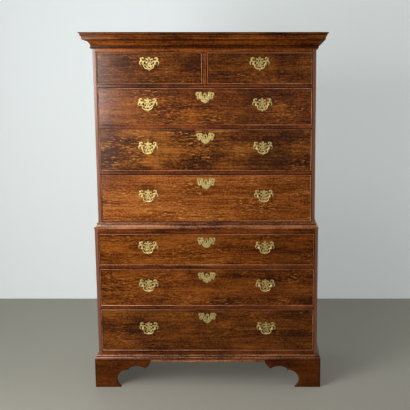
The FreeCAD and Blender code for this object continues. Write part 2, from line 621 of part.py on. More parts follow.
def drawer(centre_x, opening_width, front_y, level, handle_xs, handle_rise):
    """One drawer: front with cock beads, dovetailed lining, brasses, lock, bails and bolt."""
    width = opening_width - 2 * SIDE_GAP
    x0 = centre_x - width / 2
    x1 = centre_x + width / 2
    z0 = level[0] + RUN_GAP
    z1 = level[1] - TOP_GAP
    inside_y = front_y + FRONT_THICKNESS
    end_y = BACK_INSIDE_Y - DRAWER_BACK_ROOM
    lining_top = z1 - LINING_DROP
    back_shoulder = end_y - LINING_THICKNESS
    beads = cock_beads(width, centre_x, front_y, z0, z1)
    front = box(x0, x1, front_y, inside_y, z0, z1)
    bottom = box(x0 + LINING_THICKNESS - BOTTOM_GROOVE, x1 - LINING_THICKNESS + BOTTOM_GROOVE,
                 inside_y - BOTTOM_GROOVE, end_y, z0 + BOTTOM_RISE, z0 + BOTTOM_RISE + BOTTOM_THICKNESS)
    back = box(x0, x1, back_shoulder, end_y, z0 + BOTTOM_RISE + BOTTOM_THICKNESS, lining_top)
    sides = []
    for near, far in ((x0, x0 + LINING_THICKNESS), (x1 - LINING_THICKNESS, x1)):
        tails = dovetail_tails(near, far, inside_y, front_y + LAP, z0, lining_top)
        rear_tails = dovetail_tails(near, far, back_shoulder, end_y,
                                    z0 + BOTTOM_RISE + BOTTOM_THICKNESS, lining_top)
        side = box(near, far, inside_y, back_shoulder, z0, lining_top)
        side = side.fuse(tails + rear_tails).removeSplitter().cut(bottom)
        sides.append(side)
        front = front.cut(side)
        back = back.cut(side)
    post_z = (z0 + z1) / 2 + handle_rise
    key_z = z1 - KEYHOLE_DEPTH_BELOW_TOP
    mortise, lock_case, bolt = lock(centre_x, inside_y, z1)
    key_cut = keyhole(centre_x, key_z, front_y - POST_REACH, inside_y - LOCK_THICKNESS + 1)
    for piece in beads + [bottom, mortise, key_cut]:
        front = front.cut(piece)
    brasses = [lock_case]
    bails = []
    for x in handle_xs:
        plate = handle_plate(x, front_y, post_z)
        if len(handle_xs) == 1:
            plate = plate.cut(key_cut)
        for side in (-1, 1):
            post_x = x + side * POST_SPACING / 2
            hole = Part.makeCylinder(POST_SHANK_RADIUS + POST_HOLE_CLEARANCE, FRONT_THICKNESS + POST_REACH,
                                     Vector(post_x, front_y - PLATE_THICKNESS, post_z), Vector(0, 1, 0))
            front = front.cut(hole)
            plate = plate.cut(hole)
            brasses += handle_post(post_x, -side, front_y, inside_y, post_z)
        brasses.append(plate)
        bails.append(bail(x, front_y - POST_REACH, post_z))
    if len(handle_xs) > 1:
        brasses.append(escutcheon(centre_x, front_y, key_z).cut(key_cut))
    return {"front": [front] + beads, "box": sides + [back, bottom], "brasses": brasses,
            "bails": bails, "bolt": bolt}


# ---------------------------------------------------------------- brasses
# Right half of the handle plate, in units of half the post spacing, from the foot of the finial to
# the tip of the crown. Each row is one smooth curve, and the rows meet in cusps.
PLATE_CURVES = (
    ((0.0, -1.10), (0.10, -1.02), (0.13, -0.92), (0.07, -0.84)),
    ((0.07, -0.84), (0.26, -0.74), (0.44, -0.60), (0.50, -0.46), (0.42, -0.34)),
    ((0.42, -0.34), (0.56, -0.32), (0.70, -0.24), (0.82, -0.13)),
    ((0.82, -0.13), (1.00, -0.20), (1.16, -0.10), (1.19, 0.04), (1.12, 0.18)),
    ((1.12, 0.18), (1.15, 0.31), (1.24, 0.36), (1.36, 0.30), (1.43, 0.14), (1.38, -0.03), (1.27, -0.17)),
    ((1.27, -0.17), (1.44, -0.15), (1.58, 0.02), (1.61, 0.22), (1.53, 0.44), (1.36, 0.62)),
    ((1.36, 0.62), (1.46, 0.72), (1.45, 0.88), (1.30, 1.02), (1.08, 1.07), (0.89, 1.01), (0.81, 0.87),
     (0.86, 0.74)),
    ((0.86, 0.74), (0.96, 0.78), (1.02, 0.87), (1.12, 0.86), (1.17, 0.76), (1.11, 0.63), (0.95, 0.55),
     (0.76, 0.53)),
    ((0.76, 0.53), (0.64, 0.52), (0.54, 0.46), (0.44, 0.37)),
    ((0.44, 0.37), (0.28, 0.41), (0.23, 0.53), (0.33, 0.63)),
    ((0.33, 0.63), (0.50, 0.62), (0.62, 0.71), (0.58, 0.84), (0.43, 0.90), (0.30, 0.86), (0.21, 0.79)),
    ((0.21, 0.79), (0.17, 0.88), (0.18, 0.99), (0.13, 1.08), (0.0, 1.13)),
)
# Piercings of the same half plate: centre, half width and half height of each oval.
PLATE_PIERCINGS = ((0.69, 0.14, 0.16, 0.24), (0.36, -0.06, 0.10, 0.16), (0.16, 0.20, 0.075, 0.065))
PLATE_CENTRE_PIERCINGS = ((0.0, -0.13, 0.08, 0.09), (0.0, -0.53, 0.16, 0.13))

# Right half of the escutcheon, in units of half its width, about the keyhole's centre.
ESCUTCHEON_CURVES = (
    ((0.0, -0.72), (0.20, -0.61), (0.40, -0.46), (0.48, -0.28), (0.54, -0.18)),
    ((0.54, -0.18), (0.62, -0.27), (0.73, -0.32), (0.86, -0.20), (0.91, -0.08), (0.84, 0.0)),
    ((0.84, 0.0), (0.96, 0.15), (1.00, 0.31), (0.90, 0.46), (0.75, 0.48), (0.62, 0.43)),
    ((0.62, 0.43), (0.48, 0.49), (0.36, 0.44), (0.34, 0.30), (0.30, 0.10), (0.24, -0.03)),
    ((0.24, -0.03), (0.22, 0.06), (0.215, 0.17), (0.14, 0.30), (0.0, 0.44)),
)
ESCUTCHEON_PIERCINGS = ((0.73, 0.24, 0.075, 0.09), (0.71, -0.05, 0.05, 0.06), (0.46, 0.26, 0.035, 0.06))


def mirrored_outline(curves, unit, place):
    """Closed wire from the smooth curves of a right half and their mirror image."""
    edges = []
    for side in (1, -1):
        for row in curves:
            spline = Part.BSplineCurve()
            spline.interpolate([place(side * x * unit, z * unit) for x, z in row])
            edges.append(spline.toShape())
    return Part.Wire(Part.__sortEdges__(edges))


def oval(x, z, half_width, half_height, place):
    """Closed wire of an ellipse that may be taller than it is wide."""
    long, short = max(half_width, half_height), min(half_width, half_height)
    across = place(x + 1, z) - place(x, z)
    upward = place(x, z + 1) - place(x, z)
    main = across if half_width > half_height else upward
    end = place(x, z) + main * long
    side = place(x, z) + (upward if half_width > half_height else across) * short
    return Part.Wire(Part.Ellipse(end, side, place(x, z)).toShape())


def pierced_plate(curves, piercings, centre_piercings, unit, thickness, centre_x, face_y, centre_z):
    """A flat brass plate with its piercings, its back on the drawer front."""
    def place(x, z):
        return Vector(centre_x + x, face_y - thickness, centre_z + z)

    holes = [oval(side * x * unit, z * unit, a * unit, b * unit, place)
             for side in (1, -1) for x, z, a, b in piercings]
    holes += [oval(x * unit, z * unit, a * unit, b * unit, place) for x, z, a, b in centre_piercings]
    plate = Part.Face(mirrored_outline(curves, unit, place)).extrude(Vector(0, thickness, 0))
    for hole in holes:
        plate = plate.cut(Part.Face(hole).extrude(Vector(0, thickness, 0)))
    return plate


def handle_plate(centre_x, face_y, post_z):
    return pierced_plate(PLATE_CURVES, PLATE_PIERCINGS, PLATE_CENTRE_PIERCINGS, POST_SPACING / 2,
                         PLATE_THICKNESS, centre_x, face_y, post_z)


def escutcheon(centre_x, face_y, key_z):
    return pierced_plate(ESCUTCHEON_CURVES, ESCUTCHEON_PIERCINGS, (), ESCUTCHEON_WIDTH / 2,
                         ESCUTCHEON_THICKNESS, centre_x, face_y, key_z - KEYHOLE_SLOT_LENGTH / 2)


def handle_post(x, inward, face_y, inside_y, z):
    """Turned post with a shank through the drawer front, a ball head bored for the bail, and its nut."""
    seat_y = face_y - PLATE_THICKNESS
    pivot_y = face_y - POST_REACH
    end = inside_y + NUT_THICKNESS
    collar_y = seat_y - POST_COLLAR_THICKNESS
    neck_y = collar_y - POST_COLLAR_THICKNESS
    ball_join = pivot_y + math.sqrt(POST_BALL_RADIUS ** 2 - POST_NECK_RADIUS ** 2)
    steps = [(POST_SHANK_RADIUS, end), (POST_SHANK_RADIUS, seat_y), (POST_COLLAR_RADIUS, seat_y),
             (POST_COLLAR_RADIUS, collar_y),
             ((POST_NECK_RADIUS, neck_y), (POST_NECK_RADIUS - POST_NECK_HOLLOW, neck_y - 1.0)),
             (POST_NECK_RADIUS, ball_join),
             ((POST_BALL_RADIUS, pivot_y), (0, pivot_y - POST_BALL_RADIUS))]
    post = outline_face((0, end), steps, lambda r, y: Vector(x + r, y, z)).revolve(
        Vector(x, 0, z), Vector(0, 1, 0), 360)
    bore = Part.makeCylinder(BAIL_PIN_RADIUS + BAIL_PIN_CLEARANCE, BAIL_PIN_LENGTH + 0.5,
                             Vector(x + inward * POST_BALL_RADIUS, pivot_y, z), Vector(-inward, 0, 0))
    nut = Part.makeCylinder(NUT_RADIUS, NUT_THICKNESS, Vector(x, inside_y, z), Vector(0, 1, 0))
    shank_hole = Part.makeCylinder(POST_SHANK_RADIUS, NUT_THICKNESS, Vector(x, inside_y, z), Vector(0, 1, 0))
    return [post.cut(bore), nut.cut(shank_hole)]


def rounded_wire(points, radii):
    """Straight runs through the points, joined by tangent arcs of the given radii."""
    edges = []
    here = points[0]
    for before, corner, after, radius in zip(points, points[1:], points[2:], radii):
        toward = (before - corner).normalize()
        away = (after - corner).normalize()
        half_angle = toward.getAngle(away) / 2
        setback = radius / math.tan(half_angle)
        middle = (toward + away).normalize()
        centre = corner + middle * (radius / math.sin(half_angle))
        begin = corner + toward * setback
        end = corner + away * setback
        if (begin - here).Length > 1e-6:
            edges.append(Part.LineSegment(here, begin).toShape())
        edges.append(Part.Arc(begin, centre - middle * radius, end).toShape())
        here = end
    edges.append(Part.LineSegment(here, points[-1]).toShape())
    return Part.Wire(edges)


def bail(centre_x, pivot_y, pivot_z):
    """Bail handle hanging from its two pivots: bowed rod with an outturned pin at each end."""
    ball_face = POST_SPACING / 2 - POST_BALL_RADIUS
    shoulder = ball_face - 0.5 - BAIL_RADIUS
    pin_start = ball_face - 0.4
    outline = [(-pin_start, 0), (-shoulder, 0), (-shoulder * 1.02, -BAIL_DROP * 0.46),
               (-shoulder * 0.72, -BAIL_DROP * 0.86), (-shoulder * 0.30, -BAIL_DROP),
               (shoulder * 0.30, -BAIL_DROP), (shoulder * 0.72, -BAIL_DROP * 0.86),
               (shoulder * 1.02, -BAIL_DROP * 0.46), (shoulder, 0), (pin_start, 0)]
    points = [Vector(centre_x + x, pivot_y, pivot_z + z) for x, z in outline]
    wire = rounded_wire(points, (1.95, 10.0, 14.0, 22.0, 22.0, 14.0, 10.0, 1.95))
    section = Part.Wire(Part.Circle(points[0], Vector(1, 0, 0), BAIL_RADIUS).toShape())
    rod = wire.makePipeShell([section], True, True)
    if rod.Volume < 0:
        rod.reverse()
    for side in (-1, 1):
        start = Vector(centre_x + side * pin_start, pivot_y, pivot_z)
        rod = rod.fuse(Part.makeCylinder(BAIL_PIN_RADIUS, BAIL_PIN_LENGTH + 0.4, start, Vector(side, 0, 0)))
    return rod.removeSplitter()


# ---------------------------------------------------------------- the whole chest
def main():
    os.makedirs("parts", exist_ok=True)
    for prefix, case in (("lower_case_", lower_case()), ("upper_case_", upper_case())):
        for name, pieces in case.items():
            save(prefix + name, *pieces)
    save("cornice_moulding", *cornice())
    save("waist_moulding", *waist_moulding())
    save("base_moulding", *base_moulding(), *aprons())
    feet = []
    for piece in front_foot() + rear_foot():
        feet += pair(piece)
    save("bracket_feet", *feet)

    upper_opening = UPPER_WIDTH - 2 * SIDE_THICKNESS
    lower_opening = LOWER_WIDTH - 2 * SIDE_THICKNESS
    drawers = {
        "short_left": (-SHORT_CENTRE_X, SHORT_OPENING, UPPER_FRONT_Y, UPPER_LEVELS[3],
                       (-SHORT_CENTRE_X,), SHORT_HANDLE_RISE),
        "short_right": (SHORT_CENTRE_X, SHORT_OPENING, UPPER_FRONT_Y, UPPER_LEVELS[3],
                        (SHORT_CENTRE_X,), SHORT_HANDLE_RISE),
    }
    long_levels = [(UPPER_LEVELS[n], upper_opening, UPPER_FRONT_Y) for n in (2, 1, 0)]
    long_levels += [(LOWER_LEVELS[n], lower_opening, LOWER_FRONT_Y) for n in (2, 1, 0)]
    for n, place in enumerate(zip(long_levels, reversed(LONG_HANDLE_SPREADS)), 1):
        (level, opening, front_y), spread = place
        drawers["long_%d" % n] = (0, opening, front_y, level, (-spread / 2, spread / 2), HANDLE_RISE)
    for name, facts in drawers.items():
        made = drawer(*facts)
        save("drawer_%s_front" % name, *made["front"])
        save("drawer_%s_box" % name, *made["box"])
        save("drawer_%s_brasses" % name, *made["brasses"])
        save("lock_bolt_%s" % name, made["bolt"])
        hands = ("",) if len(made["bails"]) == 1 else ("_left", "_right")
        for hand, piece in zip(hands, made["bails"]):
            save("bail_%s%s" % (name, hand), piece)


main()
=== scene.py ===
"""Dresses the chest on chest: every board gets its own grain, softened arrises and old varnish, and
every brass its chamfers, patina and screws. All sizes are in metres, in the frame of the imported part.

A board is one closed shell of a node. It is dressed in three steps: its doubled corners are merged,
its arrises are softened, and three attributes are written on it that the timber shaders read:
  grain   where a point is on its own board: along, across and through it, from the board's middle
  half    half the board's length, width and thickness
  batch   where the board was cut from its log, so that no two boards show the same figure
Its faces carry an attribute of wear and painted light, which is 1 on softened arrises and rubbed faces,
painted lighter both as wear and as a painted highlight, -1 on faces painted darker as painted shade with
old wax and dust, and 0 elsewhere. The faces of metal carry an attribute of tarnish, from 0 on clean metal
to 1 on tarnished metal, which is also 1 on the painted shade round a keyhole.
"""
import json
import math
import random
from collections import Counter

import bmesh
import bpy
from bpy.props import FloatProperty, FloatVectorProperty, IntProperty, PointerProperty
from bpy.types import Operator, Panel, PropertyGroup
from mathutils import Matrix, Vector


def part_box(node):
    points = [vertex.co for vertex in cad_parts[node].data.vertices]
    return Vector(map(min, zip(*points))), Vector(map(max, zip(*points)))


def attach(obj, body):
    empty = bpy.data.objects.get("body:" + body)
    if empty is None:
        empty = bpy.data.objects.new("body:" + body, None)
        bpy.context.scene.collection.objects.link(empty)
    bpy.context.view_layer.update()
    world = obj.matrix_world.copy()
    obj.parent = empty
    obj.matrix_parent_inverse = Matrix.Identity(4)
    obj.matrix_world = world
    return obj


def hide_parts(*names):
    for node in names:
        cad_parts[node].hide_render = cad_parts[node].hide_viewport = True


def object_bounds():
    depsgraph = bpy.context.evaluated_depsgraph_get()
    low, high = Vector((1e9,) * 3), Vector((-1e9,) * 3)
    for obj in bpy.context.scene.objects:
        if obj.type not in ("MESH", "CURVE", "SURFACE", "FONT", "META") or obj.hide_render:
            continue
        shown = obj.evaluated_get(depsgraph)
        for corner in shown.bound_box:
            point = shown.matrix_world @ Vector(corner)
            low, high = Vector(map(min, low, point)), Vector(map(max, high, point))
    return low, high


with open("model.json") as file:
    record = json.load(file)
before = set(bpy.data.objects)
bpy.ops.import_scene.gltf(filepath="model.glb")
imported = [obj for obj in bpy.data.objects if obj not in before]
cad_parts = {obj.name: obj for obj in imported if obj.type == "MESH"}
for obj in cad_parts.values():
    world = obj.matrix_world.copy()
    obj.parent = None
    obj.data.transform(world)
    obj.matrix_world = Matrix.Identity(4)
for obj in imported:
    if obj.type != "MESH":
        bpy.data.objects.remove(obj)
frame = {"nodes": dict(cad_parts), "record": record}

bl_info = {
    "name": "Chest on chest",
    "version": (1, 0, 0),
    "blender": (4, 5, 0),
    "location": "View3D > Sidebar > Chest",
    "description": "Timber, brasses, fixings and studio of a two-part chest of drawers",
    "category": "Object",
}

MM = 0.001
CAD_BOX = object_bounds()
NODES = frame["nodes"]
BODY_OF = {node: body for body, nodes in frame["record"]["behaviour"]["bodies"].items() for node in nodes}
DRAWERS = sorted(name[len("drawer_"):-len("_front")] for name in NODES if name.endswith("_front"))
UPPER_FRONT_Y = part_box("upper_case_sides")[0].y
FRONT_THICKNESS = 20 * MM
KEYHOLE_DROP = 40 * MM       # top edge of a drawer front to the middle of its keyhole


# ---------------------------------------------------------------- settings
def length(name, description, default):
    """A setting that is a length."""
    return FloatProperty(name=name, description=description, default=default, min=0.0, unit="LENGTH")


def share(name, description, default):
    """A setting from 0 to 1."""
    return FloatProperty(name=name, description=description, default=default, min=0.0, max=1.0,
                         subtype="FACTOR")


def tint(name, description, default):
    """A setting that is a colour."""
    return FloatVectorProperty(name=name, description=description, default=default, min=0.0, max=1.0,
                               subtype="COLOR", size=3)


class TimberSettings(PropertyGroup):
    arris: length("Arris", "Width of the softened edge of a show board", 0.9 * MM)
    rough_arris: length("Rough arris", "Width of the softened edge of a hidden board", 0.5 * MM)
    arris_steps: IntProperty(
        name="Arris steps", description="Facets across a softened edge", default=2, min=1, max=4)
    varnish: share("Varnish", "Weight of the old varnish coat on show timber", 0.45)
    varnish_roughness: share("Varnish roughness", "Dullness of the varnish coat", 0.20)


class BrassSettings(PropertyGroup):
    colour: tint("Brass", "Clean brass on the faces of the plates", (0.97, 0.77, 0.31))
    tarnish: tint("Tarnish", "Darkened brass in the piercings and round the posts", (0.17, 0.105, 0.010))
    chamfer: length("Chamfer", "Width of the filed edge of a plate", 1.0 * MM)
    bail_end_radius: length("Bail end radius", "Radius of a bail at its pins", 1.4 * MM)
    bail_middle_radius: length("Bail middle radius", "Radius of a bail at its lowest point", 2.15 * MM)


class FixingSettings(PropertyGroup):
    nail_radius: length("Nail head", "Radius of a forged nail head", 3.2 * MM)
    screw_radius: length("Screw head", "Radius of a lock screw's head", 3.0 * MM)
    seed: IntProperty(name="Seed", description="Order of the turned heads", default=7)


class StudioSettings(PropertyGroup):
    floor: tint("Floor", "Colour of the plain floor", (0.30, 0.293, 0.250))
    wall: tint("Wall", "Colour of the plain wall", (0.80, 0.855, 0.86))
    lens: FloatProperty(name="Lens", description="Focal length in millimetres", default=61.46)
    camera_distance: length("Camera distance", "From the upper drawers to the camera", 3.4145)
    camera_height: length("Camera height", "Above the floor", 1.4377)
    camera_aside: length("Camera aside", "To the right of the middle", 0.2906)
    camera_pitch: FloatProperty(
        name="Camera pitch", description="Degrees below the level", default=8.509)
    camera_shift: FloatProperty(
        name="Camera shift", description="Sideways shift of the picture", default=-0.1469)
    camera_rise: FloatProperty(
        name="Camera rise", description="Upward shift of the picture", default=0.0012)


# ---------------------------------------------------------------- node graphs
class Graph:
    """Builds a node tree. An operand is a socket or a plain value, and a result is a socket."""

    def __init__(self, tree):
        self.tree = tree

    def feed(self, socket, value):
        """Links a source to a socket, or sets the socket's value."""
        if isinstance(value, bpy.types.NodeSocket):
            self.tree.links.new(value, socket)
        else:
            socket.default_value = (*value, 1.0) if socket.type == "RGBA" else value

    def wire(self, node, **inputs):
        """Feeds the inputs of a node. A key is an input's name, with _ for a space."""
        for key, value in inputs.items():
            self.feed(node.inputs[key.replace("_", " ")], value)
        return node

    def node(self, kind, **inputs):
        """A new node, with its inputs fed."""
        return self.wire(self.tree.nodes.new(kind), **inputs)

    def calculate(self, kind, operation, operands):
        """A new node that works out one result from operands in the order of its inputs."""
        node = self.node(kind)
        node.operation = operation
        for socket, operand in zip(node.inputs, operands):
            self.feed(socket, operand)
        return node

    def math(self, operation, *operands, clamp=False):
        node = self.calculate("ShaderNodeMath", operation, operands)
        node.use_clamp = clamp
        return node.outputs[0]

    def vector(self, operation, *operands):
        return self.calculate("ShaderNodeVectorMath", operation, operands).outputs[0]

    def times(self, first, second, clamp=False):
        return self.math("MULTIPLY", first, second, clamp=clamp)

    def total(self, first, *others):
        for other in others:
            first = self.math("ADD", first, other)
        return first

    def spread(self, value, amount):
        """A noise value taken about its middle and made stronger or weaker."""
        return self.times(self.math("SUBTRACT", value, 0.5), amount)

    def rise(self, value, low, high):
        """A smooth rise from 0 at low to 1 at high."""
        node = self.node("ShaderNodeMapRange", Value=value, From_Min=low, From_Max=high)
        node.interpolation_type = "SMOOTHSTEP"
        return node.outputs["Result"]

    def mix(self, amount_of_second, first, second):
        """A mix of two colours. A Mix node names its inputs alike for every type of data, so they are
        picked by number: the amount is 0, and the colours are 6 and 7."""
        node = self.node("ShaderNodeMix")
        node.data_type = "RGBA"
        for index, operand in zip((0, 6, 7), (amount_of_second, first, second)):
            self.feed(node.inputs[index], operand)
        return node.outputs[2]

    def attribute(self, name, output="Vector"):
        node = self.node("ShaderNodeAttribute")
        node.attribute_name = name
        return node.outputs[output]

    def noise(self, place, along, across, detail, roughness, distortion=0.0, output="Fac"):
        """Noise that repeats about so many times a metre along a board, and across and through it."""
        stretched = self.vector("MULTIPLY", place, (along, across, across))
        return self.node("ShaderNodeTexNoise", Vector=stretched, Scale=1.0, Detail=detail,
                         Roughness=roughness, Distortion=distortion).outputs[output]


def node_group(kind, name, inputs, outputs):
    """An empty node group with its sockets, each given with its type; gives its graph and its inputs."""
    tree = bpy.data.node_groups.new(name, f"{kind}NodeTree")
    for side, sockets in (("INPUT", inputs), ("OUTPUT", outputs)):
        for label, socket_type in sockets.items():
            tree.interface.new_socket(label, in_out=side, socket_type=f"NodeSocket{socket_type}")
    graph = Graph(tree)
    return graph, graph.node("NodeGroupInput").outputs


# ---------------------------------------------------------------- shader groups
SURFACE = {"Color": "Color", "Roughness": "Float", "Height": "Float"}
OAK_COLOURS = ("Dark", "Middle", "Light", "Fleck")
OAK_AMOUNTS = ("Contrast", "Flecks", "Mottle", "Margin Shade And Grime", "Margin Width", "Wear And Highlight")

# How often each pattern repeats in a metre along and across a board, then its detail, its roughness and
# its distortion.
OAK_DRIFT = (3.4, 6.0, 2.0, 0.5)
OAK_PATTERNS = {
    "streak": (4.0, 120.0, 4.0, 0.6),
    "band": (1.1, 15.0, 3.0, 0.5, 0.4),
    "fibre": (14.0, 330.0, 4.0, 0.68),
    "pores": (44.0, 780.0, 2.0, 0.5),
    "cloud": (5.0, 9.0, 2.5, 0.5, 0.4),
    "speckle": (62.0, 120.0, 3.0, 0.6, 0.5),
    "crazing": (105.0, 125.0, 2.0, 0.65),
    "patch": (5.0, 8.0, 2.0, 0.5),
    "dash": (40.0, 210.0, 1.5, 0.5, 0.5),
    "stain": (2.6, 6.0, 2.0, 0.5),
    "scuff": (42.0, 60.0, 4.0, 0.72),
    "rubbing": (7.0, 9.0, 3.0, 0.6),
    "wave": (7.0, 22.0, 2.0, 0.5),
}
METAL_PATTERNS = {"blotch": (170.0, 170.0, 4.0, 0.6), "file_mark": (900.0, 900.0, 2.0, 0.5)}
GRAIN_PATTERNS = ("streak", "band", "fibre", "pores")        # these wander with the grain
GRAIN_WANDER = 22 * MM

# How strongly each pattern swings the lightness of the wood, its mottling and its dullness, and how
# high it stands.
OAK_SWINGS = {"streak": 1.05, "band": 1.10, "fibre": 1.1, "crazing": 1.1}
OAK_MOTTLING = {"cloud": 2.8, "speckle": 1.3}
OAK_DULLNESS = {"scuff": 0.30, "rubbing": 0.30}
OAK_HEIGHTS = {"fibre": 0.10, "streak": 0.16, "wave": 0.55}


def edge_distance(graph, place, half):
    """Distance from a point on a board's face to the nearest edge of that face."""
    inward = graph.vector("SUBTRACT", half, graph.vector("ABSOLUTE", place))
    along, across, through = graph.node("ShaderNodeSeparateXYZ", Vector=inward).outputs
    lesser = graph.math("MINIMUM", along, across)
    greater = graph.math("MAXIMUM", along, across)
    return graph.math("MAXIMUM", lesser, graph.math("MINIMUM", greater, through))


def oak_figure_group():
    """Oak: streaks, fibre, pores and ray flecks along the grain, mottling, and grime and painted shade at
    the margins.
    """
    sockets = dict.fromkeys(OAK_COLOURS, "Color") | dict.fromkeys(OAK_AMOUNTS, "Float")
    graph, knob = node_group("Shader", "Oak Figure", sockets, SURFACE)
    times, total, rise = graph.times, graph.total, graph.rise
    on_board, half = graph.attribute("grain"), graph.attribute("half")
    in_log = graph.vector("ADD", on_board, graph.attribute("batch"))

    # the grain wanders a little up and down the board
    drift = graph.vector("SUBTRACT", graph.noise(in_log, *OAK_DRIFT, output="Color"), (0.5, 0.5, 0.5))
    drift = graph.vector("MULTIPLY", drift, (0.0, GRAIN_WANDER, GRAIN_WANDER))
    wandering = graph.vector("ADD", in_log, drift)
    noise = {name: graph.noise(wandering if name in GRAIN_PATTERNS else in_log, *pattern)
             for name, pattern in OAK_PATTERNS.items()}

    def swings(amounts):
        return [graph.spread(noise[name], amount) for name, amount in amounts.items()]

    mottling = times(total(*swings(OAK_MOTTLING)), knob["Mottle"])
    swing = total(*swings(OAK_SWINGS), mottling)
    lightness = graph.math("ADD", 0.5, times(swing, knob["Contrast"]))
    pore = rise(noise["pores"], 0.56, 0.68)
    fleck = times(rise(noise["dash"], 0.56, 0.68), rise(noise["patch"], 0.42, 0.62))
    fleck = times(fleck, knob["Flecks"])
    stain = times(rise(noise["stain"], 0.48, 0.74), knob["Mottle"])
    # the margin band along a board's edges, painted darker below: painted shade where the gaps round
    # drawers and beads lie in shadow, with grime
    margin = total(edge_distance(graph, on_board, half), graph.spread(noise["cloud"], 12 * MM))
    off_edge = rise(graph.math("DIVIDE", margin, knob["Margin Width"]), 0.1, 1.0)
    near_edge = graph.math("SUBTRACT", 1.0, off_edge)
    wear_and_painted_light = graph.attribute("wear_and_painted_light", "Fac")
    figure = graph.mix(rise(lightness, 0.02, 0.55), knob["Dark"], knob["Middle"])
    for strength, colour in (
            (rise(lightness, 0.42, 1.02), "Light"),
            (times(pore, 0.55), "Dark"),
            (times(fleck, 0.9, clamp=True), "Fleck"),
            (times(stain, 0.9), "Dark"),
            # painted shade with grime along the margins
            (times(near_edge, knob["Margin Shade And Grime"]), "Dark"),
            # lighter on arrises and rubbed faces: wear, and a painted highlight and sheen
            (times(wear_and_painted_light, knob["Wear And Highlight"], clamp=True), "Fleck"),
            # darker on marked faces: painted shade, with dirt
            (times(wear_and_painted_light, -0.8, clamp=True), "Dark")):
        figure = graph.mix(strength, figure, knob[colour])

    dull = total(0.27, *swings(OAK_DULLNESS), times(pore, 0.12), times(near_edge, 0.1))
    heights = [times(noise[name], amount) for name, amount in OAK_HEIGHTS.items()]
    graph.node("NodeGroupOutput", Color=figure, Roughness=dull, Height=total(*heights, times(pore, -0.22)))


def metal_patina_group():
    """Cast and filed metal: clean faces, tarnish on sides and in hollows, painted shade where marked, fine
    file marks.
    """
    graph, knob = node_group("Shader", "Metal Patina",
                             {"Clean": "Color", "Tarnish": "Color", "Amount": "Float"}, SURFACE)
    place = graph.node("ShaderNodeTexCoord").outputs["Object"]
    blotch, file_mark = (graph.noise(place, *pattern) for pattern in METAL_PATTERNS.values())
    spots = graph.times(graph.rise(blotch, 0.45, 0.72), knob["Amount"])
    amount = graph.math("ADD", spots, graph.attribute("tarnish_and_shade", "Fac"), clamp=True)
    graph.node("NodeGroupOutput",
               Color=graph.mix(amount, knob["Clean"], knob["Tarnish"]),
               Roughness=graph.total(0.32, graph.times(blotch, 0.16), graph.times(amount, 0.2)),
               Height=graph.total(graph.times(blotch, 0.8), graph.times(file_mark, 0.2)))
